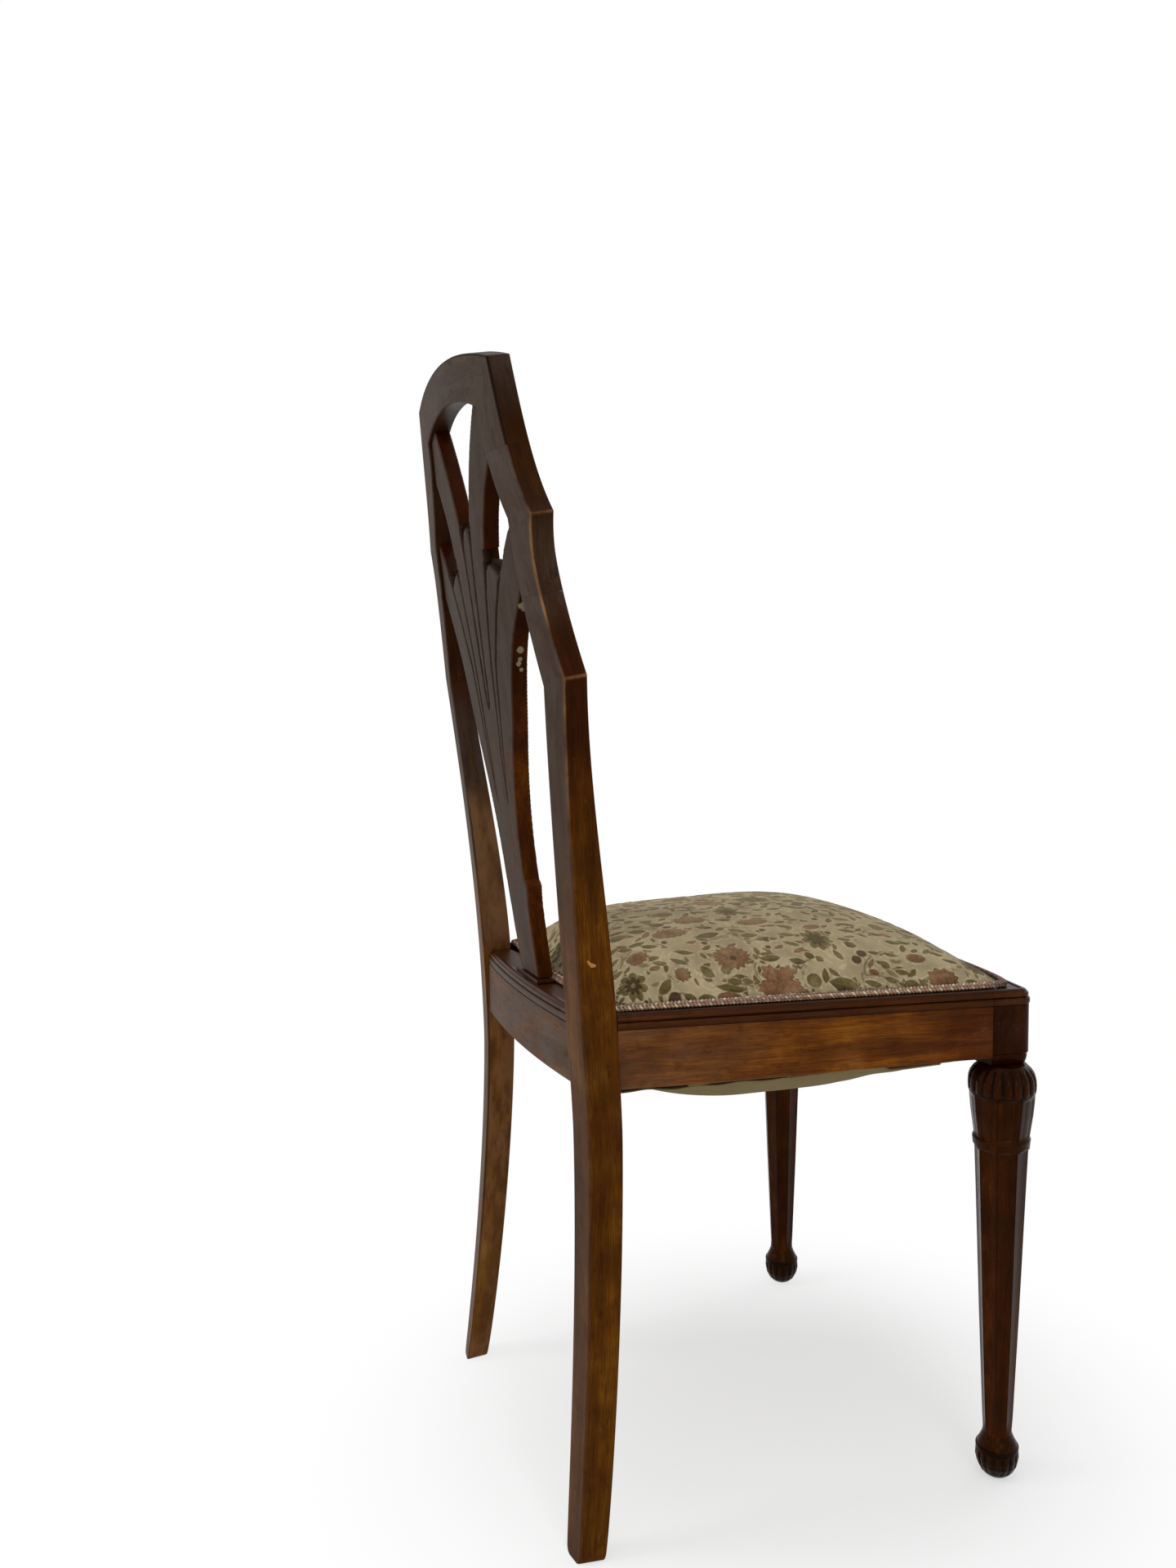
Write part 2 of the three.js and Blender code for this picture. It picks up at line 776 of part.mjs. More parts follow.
function frontRailPlan(inset) {
  const reach = blockInnerX - fitGap;
  const edge = (from, to, depth) => between(from, to, 10).map((x) => (
    new THREE.Vector2(x, frontY(x, railOuterInset + depth))
  ));
  return [...edge(reach, -reach, inset), ...edge(-reach, reach, frontRailThick)];
}

function rearRailFront(x) {
  return rearRailCentreY - rearRailThick + rearRailFrontBow * (x / rearRailBowHalf) ** 2;
}

function rearRailPlan(inset) {
  const reach = innerHalf(railTop) + tenonDepth;
  const rear = between(reach, -reach, 12).map((x) => new THREE.Vector2(x, rearRailY(x, inset)));
  const front = between(-reach, reach, 12).map((x) => new THREE.Vector2(x, rearRailFront(x)));
  return [...rear, ...front];
}

const tenonMiddle = (railBottom + mouldingBottom) / 2;

function tenonSize(alongX, clearance) {
  const long = 2 * (tenonDepth + clearance);
  const thick = tenonThick + 2 * clearance;
  const tall = tenonHeight + 2 * clearance;
  return alongX ? new THREE.Vector3(long, thick, tall) : new THREE.Vector3(thick, long, tall);
}

function sideTenon(y, clearance) {
  const x = sideX(y, railOuterInset + sideRailThick / 2);
  return turnedBlock(tenonSize(false, clearance), new THREE.Vector3(x, y, tenonMiddle), sideTurn);
}

const postFrontY = framePoint(waistHalf, tenonMiddle, 1).y;

function rearTenon(clearance) {
  const x = innerHalf(tenonMiddle);
  const y = rearRailY(x, 0) - rearTenonSetback - tenonThick / 2;
  return turnedBlock(tenonSize(true, clearance), new THREE.Vector3(x, y, tenonMiddle), 0);
}

function frontTenon(clearance) {
  const y = frontY(blockInnerX, railOuterInset + frontRailThick / 2);
  return turnedBlock(tenonSize(true, clearance), new THREE.Vector3(blockInnerX, y, tenonMiddle), 0);
}

// Front leg: a square block over a lobed bud, a fluted cup, a collar, an eight-sided taper and a reeded ball.

const legSides = 32;
const lobeCount = 16;
const faceCount = 8;

// A level ring of the turned part. lobes and flats say how much of each carving it carries.
function legRing(height, radius, lobes, flats) {
  return between(0, 1, legSides).slice(0, -1).map((share) => {
    const angle = 2 * Math.PI * share;
    const lobe = lobes * lobeDepth * (0.5 - 0.5 * Math.cos(lobeCount * angle));
    const flat = flats * flatDepth * (0.5 + 0.5 * Math.cos(faceCount * angle));
    const reach = radius - lobe - flat;
    return new THREE.Vector3(legX + reach * Math.cos(angle), legY + reach * Math.sin(angle), height);
  });
}

function turnedLeg() {
  const ballMiddle = footBallHeight / 2;
  const ball = between(-1, ballTopShare, 7).map((rise) => {
    const round = Math.sqrt(Math.max(0, 1 - rise ** 2));
    const radius = mix(footPadRadius, footBallRadius, round);
    return legRing(ballMiddle * (1 + rise), radius, round, 0);
  });
  const neck = legRing(footBallHeight, taperBottomRadius + flatDepth, 0, 0);
  const taperEnd = (taperBottom + footBallHeight) / 2;
  const collar = collarShares.map((share) => (
    legRing(mix(collarBottom, collarTop, share), collarRadius, 0, 1)
  ));
  const cup = cupShares.map((share) => {
    const radius = mix(cupBottomRadius, budRadius - flatDepth, Math.sqrt(share));
    return legRing(mix(collarTop, budBottom, share), radius, 0, 1);
  });
  const budMiddle = mix(budBottom, blockBottom, budBellyShare);
  const bud = budShares.map((rise) => {
    const base = rise < 0 ? budRadius - lobeDepth / 2 : budNeckRadius;
    const round = Math.sqrt(1 - rise ** 2);
    const height = rise < 0 ? mix(budMiddle, budBottom, -rise) : mix(budMiddle, blockBottom, rise);
    return legRing(height, mix(base, budRadius, round), rise === 1 ? 0 : 1, 0);
  });
  return loft([
    ...ball,
    neck,
    legRing(taperEnd, taperBottomRadius, 0, 0),
    legRing(taperBottom, taperBottomRadius, 0, 1),
    legRing(collarBottom, taperTopRadius, 0, 1),
    ...collar,
    ...cup,
    ...bud,
    legRing(blockBottom + fitGap, budNeckRadius, 0, 0),
  ]);
}

function blockOutline(inset) {
  const outer = railOuterInset + inset;
  const side = [new THREE.Vector2(sideX(blockRearY, outer), blockRearY)];
  const inner = [
    new THREE.Vector2(blockInnerX, frontY(blockInnerX, outer)),
    new THREE.Vector2(blockInnerX, blockRearY),
  ];
  if (outer >= blockCornerRadius) {
    const y = frontY(cornerCentreX, outer);
    return [...side, new THREE.Vector2(sideX(y, outer), y), ...inner];
  }
  return [...side, ...insetOutline(cornerStations(6), outer), ...inner];
}

function frontLeg() {
  const block = flatPrism(blockOutline(0), blockBottom, mouldingBottom);
  const top = flatPrism(blockOutline(mouldingWidth + fitGap), mouldingBottom - fitGap, railTop);
  const whole = join(turnedLeg(), block, top);
  return cut(whole, sideTenon(blockRearY, fitGap), frontTenon(fitGap));
}

// Corner blocks, each held by two screws. way is +1 at the rear corners and -1 at the front ones.

function cornerSpot(way) {
  const inset = railOuterInset + sideRailThick;
  if (way > 0) {
    const y = rearRailCentreY - rearRailThick + rearRailFrontBow;
    return new THREE.Vector2(sideX(y, inset), y);
  }
  const x = sideX(frontY(blockInnerX, 0) + frontRailThick, inset);
  return new THREE.Vector2(x, frontY(x, railOuterInset + frontRailThick));
}

const cornerBlockBottom = railBottom + cornerBlockRaise;

function cornerBlockLegAt(way) {
  return way > 0 ? cornerBlockLeg : cornerBlockLeg + frontBlockExtra;
}

// The blank's sides bite into both rails, and its long face lies at half a right angle.
function cornerBlankOutline(way) {
  const { x, y } = cornerSpot(way);
  const bite = cornerBlockBite;
  const endY = y + way * bite;
  const endX = x - cornerBlockLegAt(way) + bite;
  const sideInset = railOuterInset + sideRailThick - bite;
  const reach = (sideX(endY, sideInset) - endX) / (1 - way * sideSlope);
  return [
    new THREE.Vector2(sideX(endY, sideInset), endY),
    new THREE.Vector2(endX + reach, endY - way * reach),
    new THREE.Vector2(endX, endY),
  ];
}

// A rod from a point along a direction, used for screw shanks and their holes.
function rodAlong(start, along, radius, length, sides) {
  const rod = new THREE.CylinderGeometry(radius, radius, length, sides);
  rod.translate(0, length / 2, 0);
  rod.applyQuaternion(new THREE.Quaternion().setFromUnitVectors(new THREE.Vector3(0, 1, 0), along));
  rod.translate(start.x, start.y, start.z);
  return rod;
}

// The two screws of a corner block: one runs out to the side rail, one to the rear or front rail.
function cornerScrews(way) {
  const offset = way > 0 ? screwOffset : screwOffset + frontScrewExtra;
  const acrossY = cornerSpot(way).y - way * offset;
  const alongX = cornerSpot(way).x - offset;
  const inFront = screwLength - screwBite;
  const sideStart = sideX(acrossY, railOuterInset + sideRailThick) - inFront;
  const railFace = way > 0 ? rearRailFront(alongX) : frontY(alongX, railOuterInset + frontRailThick);
  const railStart = railFace - way * inFront;
  const [low, high] = screwHeightShares.map((share) => cornerBlockBottom + share * cornerBlockHeight);
  return [
    { start: new THREE.Vector3(sideStart, acrossY, high), along: new THREE.Vector3(1, 0, 0) },
    { start: new THREE.Vector3(alongX, railStart, low), along: new THREE.Vector3(0, way, 0) },
  ];
}

function screwHole({ start, along }) {
  const shank = rodAlong(start, along, screwRadius + fitGap, screwLength + fitGap, 8);
  const pocketStart = start.clone().addScaledVector(along, -cornerBlockLeg);
  const pocketLength = cornerBlockLeg + screwHeadHeight + fitGap;
  const pocket = rodAlong(pocketStart, along, screwHeadRadius + fitGap, pocketLength, 8);
  return [shank, pocket];
}

function screw({ start, along }) {
  const outline = [
    [0, 0], [screwHeadRadius, 0], [screwHeadRadius, screwHeadHeight / 2], [screwRadius, screwHeadHeight],
    [screwRadius, screwLength - screwTip], [0, screwLength],
  ];
  const turned = new THREE.LatheGeometry(outline.map(([radius, at]) => new THREE.Vector2(radius, at)), 8);
  turned.applyQuaternion(new THREE.Quaternion().setFromUnitVectors(new THREE.Vector3(0, 1, 0), along));
  turned.translate(start.x, start.y, start.z);
  return faceOut(plainGeometry(turned));
}

// Upholstery. Each layer maps shares across and along (-1 front, +1 rear) to the plan of the seat.

function spread(share) {
  return Math.sin((Math.PI / 2) * share);
}

function coverRear(x) {
  return coverRearY - coverRearBow * Math.min(1, (x / coverRearBowHalf) ** 2);
}

function seatPoint(across, along, inset) {
  const share = (along + 1) / 2;
  const draw = coverCornerDraw * Math.abs(across) ** 12 * Math.max(0, -along) ** 12;
  const firstY = mix(frontCentreY + coverInset, coverRearY, share);
  const firstX = across * sideX(firstY, coverInset + inset);
  const y = mix(frontY(firstX, coverInset + inset) + draw, coverRear(firstX) - inset, share);
  const x = across * (sideX(y, coverInset + inset) - draw);
  return new THREE.Vector2(x, y);
}

function crownShare(across, along) {
  const power = along < 0 ? crownFrontPower : crownRearPower;
  return (1 - Math.abs(across) ** crownSidePower) * (1 - Math.abs(along) ** power);
}

const seatBase = railTop + fitGap;

function coverUnderside(across, along) {
  const margin = Math.max(Math.abs(across), Math.abs(along));
  const lift = coverEdgeLift * Math.min(1, (1 - margin) / edgeShare);
  return seatBase + lift + crownDepth * crownShare(across, along);
}

const coverColumns = 18;
const padKeep = (coverColumns - 2) / coverColumns;

function seatCover() {
  const at = (rise) => (s, t) => {
    const across = spread(s);
    const along = spread(t);
    const plan = seatPoint(across, along, 0);
    return new THREE.Vector3(plan.x, plan.y, coverUnderside(across, along) + rise);
  };
  return layer(coverColumns, coverColumns, at(coverThick), at(0));
}

function seatPad() {
  const steps = coverColumns - 2;
  const at = (level) => (s, t) => {
    const across = spread(s * padKeep);
    const along = spread(t * padKeep);
    const plan = seatPoint(across, along, 0);
    return new THREE.Vector3(plan.x, plan.y, level(across, along));
  };
  const upper = at((across, along) => coverUnderside(across, along) - fitGap);
  const lower = at(() => seatBase + hessianThick + fitGap);
  return layer(steps, steps, upper, lower);
}

function hessian() {
  const at = (level) => (s, t) => {
    const plan = seatPoint(spread(s * padKeep), spread(t * padKeep), 0);
    return new THREE.Vector3(plan.x, plan.y, level);
  };
  return layer(8, 8, at(seatBase + hessianThick), at(seatBase));
}

// The braid lies on the rails just outside the cover's edge.
function gimpBraid() {
  const offset = fitGap + gimpWidth / 2;
  const side = between(-1, 1, 14).slice(0, -1);
  const rim = [
    ...side.map((s) => seatPoint(spread(s), -1, -offset)),
    ...side.map((s) => seatPoint(1, spread(s), -offset)),
    ...side.map((s) => seatPoint(-spread(s), 1, -offset)),
    ...side.map((s) => seatPoint(-1, -spread(s), -offset)),
  ];
  const middle = seatBase + gimpHeight / 2;
  return ring(rim.map((point, k) => {
    const before = rim.at(k - 1);
    const after = rim[(k + 1) % rim.length];
    const out = new THREE.Vector2(after.y - before.y, before.x - after.x).normalize();
    return between(0, 1, 6).slice(1).map((share) => {
      const angle = 2 * Math.PI * share;
      const reach = (gimpWidth / 2) * Math.cos(angle);
      const rise = (gimpHeight / 2) * Math.sin(angle);
      return new THREE.Vector3(point.x + out.x * reach, point.y + out.y * reach, middle + rise);
    });
  }));
}

// Underneath, the webbing and the bottom cloth hang in one belly between the rails.

const bellyRear = rearRailCentreY - rearRailThick;
const bellyFront = frontCentreY + frontRailThick;
const bellyHalfDepth = (bellyRear - bellyFront) / 2;
const bellyMiddleY = (bellyRear + bellyFront) / 2;

function bellyDrop(x, y) {
  const across = Math.min(1, Math.abs(x) / sideX(y, sideRailThick));
  const along = Math.min(1, Math.abs(y - bellyMiddleY) / bellyHalfDepth);
  return bellyDepth * ((1 - across ** bellyPower) * (1 - along ** bellyPower)) ** bellyEdgePower;
}

const strapTop = railBottom - fitGap;
const strapStep = webbingThick + strapClearance;

// The straps that run front to back pass under those that run from side to side.
function lengthwiseLevel(x, y) {
  const drop = bellyDrop(x, y);
  return strapTop - drop - strapStep * Math.min(1, drop / (2 * strapStep));
}

function lengthwiseStrap(x) {
  const front = frontY(x, clothInset);
  const rear = rearRailY(x, clothInset);
  const at = (rise) => (s, t) => {
    const px = x + (s * webbingWidth) / 2;
    const py = mix(front, rear, (t + 1) / 2);
    return new THREE.Vector3(px, py, lengthwiseLevel(px, py) - rise);
  };
  return layer(2, 18, at(0), at(webbingThick));
}

function crosswiseStrap(y) {
  const half = sideX(y, clothInset);
  const at = (rise) => (s, t) => {
    const px = t * half;
    const py = y + (s * webbingWidth) / 2;
    return new THREE.Vector3(px, py, strapTop - bellyDrop(px, py) - rise);
  };
  return layer(2, 18, at(0), at(webbingThick));
}

function clothRear(x) {
  return rearRailY(0, clothInset) - clothRearBow * Math.min(1, Math.abs(x / clothRearBowHalf) ** 6);
}

function bottomCloth() {
  const at = (rise) => (s, t) => {
    const share = (t + 1) / 2;
    const firstY = mix(frontCentreY, bellyRear, share);
    const firstX = s * sideX(firstY, clothInset);
    const y = mix(frontY(firstX, clothInset), clothRear(firstX), share);
    const x = s * sideX(y, clothInset);
    const level = lengthwiseLevel(x, y) - webbingThick - clothClearance;
    return new THREE.Vector3(x, y, level - rise);
  };
  const whole = layer(14, 20, at(0), at(clothThick));
  const corner = (side) => {
    const half = 2 * budRadius;
    const innerX = Math.min(legX - budRadius, blockInnerX) - fitGap;
    const rearSideY = Math.max(legY + budRadius, blockRearY) + fitGap;
    const size = new THREE.Vector3(2 * half, 2 * half, 2 * half);
    return turnedBlock(size, new THREE.Vector3(side * (innerX + half), rearSideY - half, railBottom), 0);
  };
  return cut(whole, corner(1), corner(-1), ...bothSides(moved(backPost(), -fitGap, -fitGap, 0)));
}

// A waisted coil spring standing on a crossing of the straps, up to the hessian.
function seatSpring(x, y) {
  const wire = springWire;
  const stepsPerTurn = 10;
  const steps = springTurns * stepsPerTurn;
  const angleAt = (share) => 2 * Math.PI * springTurns * share;
  const rim = between(0, 1, 12).map((share) => {
    const angle = 2 * Math.PI * share;
    const reach = springEndRadius + wire;
    return strapTop - bellyDrop(x + reach * Math.cos(angle), y + reach * Math.sin(angle));
  });
  const bottom = Math.max(...rim) + fitGap + wire;
  const top = railTop - fitGap - wire;
  const loops = between(0, 1, steps).map((share) => {
    const pinch = 1 - (2 * share - 1) ** 2;
    const radius = mix(springEndRadius, springWaistRadius, pinch);
    const angle = angleAt(share);
    const height = mix(bottom, top, share);
    return between(0, 1, 5).slice(1).map((turn) => {
      const around = 2 * Math.PI * turn;
      const reach = radius + wire * Math.cos(around);
      return new THREE.Vector3(
        x + reach * Math.cos(angle), y + reach * Math.sin(angle), height + wire * Math.sin(around),
      );
    });
  });
  return loft(loops);
}

// Assembly

const frontScrews = cornerScrews(-1);
const rearScrews = cornerScrews(1);
const shoulderRodHole = jointRod(shoulderJointHeight, fitGap);
const crestRodHole = jointRod(crestJointHeight, fitGap);

const leftPost = cut(backPost(), sideTenon(postFrontY, fitGap), rearTenon(fitGap), shoulderRodHole);
const leftShoulder = cut(shieldShoulder(), shoulderRodHole, crestRodHole);
const leftSideRail = cut(
  join(
    cut(railFrom(sideRailPlan), ...[0, -sideRailThick].map((x) => moved(backPost(), x, -fitGap, 0))),
    sideTenon(postFrontY, 0),
    sideTenon(blockRearY, 0),
  ),
  ...[frontScrews[0], rearScrews[0]].flatMap(screwHole),
);
const mouldingRearY = framePoint(waistHalf, mouldingBottom, 1).y - cutOverrun;
const leftMoulding = mouldingAlong(sideStations(mouldingRearY, blockRearY));

function cornerBlock(way) {
  const outline = cornerBlankOutline(way);
  const ordered = way > 0 ? outline.reverse() : outline;
  const blank = flatPrism(ordered, cornerBlockBottom, cornerBlockBottom + cornerBlockHeight);
  const besideRail = moved(railFrom(sideRailPlan), -fitGap, 0, 0);
  const endRail = moved(railFrom(way > 0 ? rearRailPlan : frontRailPlan), 0, -way * fitGap, 0);
  const upright = way > 0
    ? moved(backPost(), -fitGap, -fitGap, 0)
    : moved(flatPrism(blockOutline(0), blockBottom, mouldingBottom), -fitGap, fitGap, 0);
  const screws = (way > 0 ? rearScrews : frontScrews).flatMap(screwHole);
  return cut(blank, besideRail, endRail, upright, ...screws);
}

function addPair(name, left, finish) {
  addPiece(`${name}_left`, left, finish);
  addPiece(`${name}_right`, mirrored(left), finish);
}

function bothSides(geometry) {
  return [geometry, mirrored(geometry)];
}

addPair("back_post", leftPost, woods.post);
addPair("shield_shoulder", leftShoulder, woods.post);
addPiece("crest_rail", cut(crestRail(), ...bothSides(crestRodHole)), woods.post);
addPair("shoulder_dowel", jointRod(shoulderJointHeight, 0), woods.inner);
addPair("crest_dowel", jointRod(crestJointHeight, 0), woods.inner);
addPiece("splat", splat(), woods.splat);
addPiece("splat_shoe", splatShoe(), woods.rail);

const rearRailBody = cut(
  railFrom(rearRailPlan),
  ...bothSides(moved(backPost(), -fitGap, 0, 0)),
  ...bothSides(moved(railFrom(sideRailPlan), -fitGap, 0, 0)),
);
addPiece("rear_seat_rail", cut(
  join(rearRailBody, ...bothSides(rearTenon(0))),
  ...bothSides(screwHole(rearScrews[1])[0]),
), woods.rail);
addPair("side_seat_rail", leftSideRail, woods.rail);
addPiece("front_seat_rail", cut(
  join(railFrom(frontRailPlan), ...bothSides(frontTenon(0))),
  ...bothSides(screwHole(frontScrews[1])[0]),
), woods.rail);
addPair("front_leg", frontLeg(), woods.leg);

const rearMouldingReach = innerHalf(mouldingBottom) - fitGap;
addPiece("rear_rail_moulding", mouldingAlong(rearStations(rearMouldingReach, 10)), woods.rail);
addPair("side_rail_moulding", leftMoulding, woods.rail);
const cornerTurn = [...sideStations(blockRearY - fitGap, cornerCentreY), ...cornerStations(5).slice(1)];
addPiece("front_rail_moulding", mouldingAlong([
  ...cornerTurn,
  ...frontStations(cornerCentreX - fitGap, 10),
  ...otherSide(cornerTurn),
]), woods.rail);

addPair("rear_corner_block", cornerBlock(1), woods.inner);
addPair("front_corner_block", cornerBlock(-1), woods.inner);
addPair("rear_block_side_screw", screw(rearScrews[0]), steel);
addPair("rear_block_rail_screw", screw(rearScrews[1]), steel);
addPair("front_block_side_screw", screw(frontScrews[0]), steel);
addPair("front_block_rail_screw", screw(frontScrews[1]), steel);

for (const [index, place] of ["right", "middle", "left"].entries()) {
  addPiece(`webbing_lengthwise_${place}`, lengthwiseStrap((index - 1) * lengthwiseStrapX), cloths.jute);
}
for (const [index, place] of ["front", "middle", "rear"].entries()) {
  const y = crosswiseStrapY + (index - 1) * crosswiseStrapStep;
  addPiece(`webbing_crosswise_${place}`, crosswiseStrap(y), cloths.jute);
}
addPair("front_seat_spring", seatSpring(lengthwiseStrapX, crosswiseStrapY - crosswiseStrapStep), steel);
addPair("rear_seat_spring", seatSpring(lengthwiseStrapX, crosswiseStrapY + crosswiseStrapStep), steel);
addPiece("hessian", hessian(), cloths.jute);
addPiece("seat_pad", seatPad(), cloths.cream);
addPiece("seat_cover", seatCover(), cloths.velvet);
addPiece("gimp_braid", gimpBraid(), cloths.gimp);
addPiece("bottom_cloth", bottomCloth(), cloths.cream);

export default chair;
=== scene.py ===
"""Looks for a shield back dining chair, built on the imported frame.

Every shape is worked out in millimetres from the same named sizes as the frame and written in metres.
"""

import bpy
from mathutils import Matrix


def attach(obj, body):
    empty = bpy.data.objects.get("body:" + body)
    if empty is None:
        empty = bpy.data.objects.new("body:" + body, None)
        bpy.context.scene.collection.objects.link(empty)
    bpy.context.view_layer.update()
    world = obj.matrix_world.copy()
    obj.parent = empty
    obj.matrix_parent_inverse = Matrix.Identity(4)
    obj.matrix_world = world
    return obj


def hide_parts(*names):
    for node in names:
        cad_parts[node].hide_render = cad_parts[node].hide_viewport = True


bl_info = {
    "name": "Shield back chair",
    "version": (1, 0, 0),
    "blender": (4, 5, 0),
    "location": "View3D > Sidebar > Chair",
    "description": "Carved wood, cut velvet and braid for a shield back dining chair",
    "category": "Add Mesh",
}

import functools
import math

import bpy
import numpy as np
from mathutils import Matrix, Vector

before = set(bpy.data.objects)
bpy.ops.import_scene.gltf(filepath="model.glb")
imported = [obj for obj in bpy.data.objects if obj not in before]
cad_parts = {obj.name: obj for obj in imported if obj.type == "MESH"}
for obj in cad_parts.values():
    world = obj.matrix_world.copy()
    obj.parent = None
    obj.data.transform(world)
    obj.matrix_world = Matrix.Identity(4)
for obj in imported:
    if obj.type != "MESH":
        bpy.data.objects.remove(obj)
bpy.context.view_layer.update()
MM = 0.001
BODY = "root"

# Sizes of the frame, in millimetres: half widths and heights seen from behind

FOOT_HALF, WAIST_HALF, SHOULDER_HALF, NECK_HALF, CUSP_HALF, CREST_HALF = 177, 151, 181, 155, 160.5, 115.5
WAIST_Z, SHOULDER_Z, NECK_Z, CUSP_Z, CREST_Z, CROWN_Z = 430, 697, 790, 819, 942, 960
CORNER_HALF, INNER_NECK_HALF, INNER_CUSP_HALF, INNER_TOP_HALF = 145.5, 120, 118.5, 84.5
CORNER_Z, INNER_NECK_Z, INNER_CUSP_Z, INNER_TOP_Z = 691, 795, 820, 909
UNDERSIDE_Z, ARCH_HALF, ARCH_DROP = 925, 64.5, 9.5
SHOULDER_JOINT_Z, CREST_JOINT_Z, JOINT_GAP = 760, 873, 0.05
FOOT_WIDTH, POST_WIDTH = 21.5, 29
FOOT_THICK, POST_THICK, SHIELD_THICK, FOOT_ROUND = 21, 29, 19, 7
LEG_WAIST_Z, FOOT_Y, LEG_WAIST_Y, CROWN_Y = 340, 198.5, 174, 231
DISH_DEPTH, DISH_HALF, RAKE, POST_TURN = 12, 165, 0.155, 0.12

# Splat

SPLAT_FOOT_Z, SPLAT_FOOT_Y, SPLAT_TOP_Y, SPLAT_BOW, SPLAT_THICK = 434.9, 162, 228, 2.8, 14
SPLAT_WING_Z, HEEL_HALF, HEEL_Z, HEEL_STEP, SPLAT_FOOT_HALF = 771, 33, 517, 6, 24
SPLAT_ROOT_Z, FIT = 873.6, 0.3

# Seat frame and seat

RAIL_TOP, RAIL_BOTTOM, MOULD_BOTTOM, MOULD_WIDTH, MOULD_HEIGHT = 431.4, 371, 419, 7.5, 12.7
SIDE_REAR_X, SIDE_REAR_Y, SIDE_FRONT_X, SIDE_LINE_Y = 154, 134, 212, 137.4
FRONT_Y, FRONT_BOW, FRONT_HALF = -230, 16, 210
REAR_RAIL_Y, REAR_BOW, REAR_BOW_HALF, REAR_THICK, REAR_FRONT_BOW = 172.5, 6.7, 120, 38, 9
SIDE_THICK, FRONT_THICK, FACE_INSET = 23, 24, 0.8
BLOCK_WIDTH, BLOCK_DEPTH, BLOCK_ROUND, BLOCK_BOTTOM = 42, 36, 9, 367
LEG_X, LEG_Y = 195.5, -195
COVER_INSET, COVER_REAR_Y, COVER_REAR_BOW, COVER_REAR_HALF = 16, 141, 10.5, 118
SEAT_BASE, CLOTH_INSET, SAG, STRAP_HALF = 431.7, 8, 42, 24


# Mesh making


def smooth_step(low, high, value):
    """Rises from 0 at low to 1 at high along 3t^2 - 2t^3."""
    share = np.clip((np.asarray(value, float) - low) / (high - low), 0, 1)
    return share * share * (3 - 2 * share)


def plateau(start, full, fading, end, value):
    """Rises from 0 at start to 1 at full, and falls again from fading to end."""
    return smooth_step(start, full, value) - smooth_step(fading, end, value)


def blend(low, high, share):
    """The value at a share of the way from low to high."""
    return low + (high - low) * share


def enclosed(points, triangles):
    """Sums a . (b x c) over the triangles, six times the volume they enclose."""
    a, b, c = (points[triangles[:, k]] for k in range(3))
    return np.einsum("ij,ij->", a, np.cross(b, c))


def turned_round(faces):
    """The same faces seen from their other side; a triangle's -1 stays last."""
    counts = (faces >= 0).sum(axis=1)[:, None]
    order = (counts - 1 - np.arange(4)) % 4
    return np.where(np.arange(4) < counts, np.take_along_axis(faces, order, axis=1), -1)


def put_mesh(name, points, faces, attributes=None, sharp=32.0, closed=True):
    """Makes an object from points in millimetres and rows of four corner numbers; a -1 ends a triangle."""
    fourth = np.where(faces[:, 3] < 0, faces[:, 2], faces[:, 3])
    halves = np.concatenate([faces[:, :3], np.column_stack([faces[:, 0], faces[:, 2], fourth])])
    if closed and enclosed(points, halves) < 0:
        faces = turned_round(faces)
    corners, counts = faces[faces >= 0], (faces >= 0).sum(axis=1)
    starts = np.concatenate([[0], np.cumsum(counts)[:-1]])
    mesh = bpy.data.meshes.new(name)
    mesh.vertices.add(len(points))
    mesh.vertices.foreach_set("co", (points * MM).astype(np.float32).ravel())
    mesh.loops.add(len(corners))
    mesh.loops.foreach_set("vertex_index", corners.astype(np.int32))
    mesh.polygons.add(len(faces))
    mesh.polygons.foreach_set("loop_start", starts.astype(np.int32))
    mesh.update(calc_edges=True)
    mesh.validate()
    for label, values in (attributes or {}).items():
        put_attribute(mesh, label, values)
    piece = bpy.data.objects.new(name, mesh)
    bpy.context.scene.collection.objects.link(piece)
    mesh.shade_smooth()
    if sharp:
        mesh.set_sharp_from_angle(angle=math.radians(sharp))
    return piece


def put_attribute(mesh, label, values):
    """Stores one number or one vector for each vertex."""
    values = np.asarray(values, np.float32)
    kind, key = ("FLOAT", "value") if values.ndim == 1 else ("FLOAT_VECTOR", "vector")
    layer = mesh.attributes.new(label, kind, "POINT")
    layer.data.foreach_set(key, values.ravel())


def grid_faces(rows, columns, round_rows=False, round_columns=False):
    """Quads of a grid numbered row by row, closed on itself along the rows or columns if asked."""
    counts = rows - 1 + round_rows, columns - 1 + round_columns
    i, j = np.indices(counts)
    up, along = (i + 1) % rows, (j + 1) % columns
    corners = (i * columns + j, i * columns + along, up * columns + along, up * columns + j)
    return np.stack(corners, axis=-1).reshape(-1, 4)


def fan(ring, middle, backwards=False):
    """Triangles from a ring of points to its middle."""
    after = np.roll(ring, -1)
    pair = [after, ring] if backwards else [ring, after]
    return np.column_stack([*pair, np.full(len(ring), middle), np.full(len(ring), -1)])


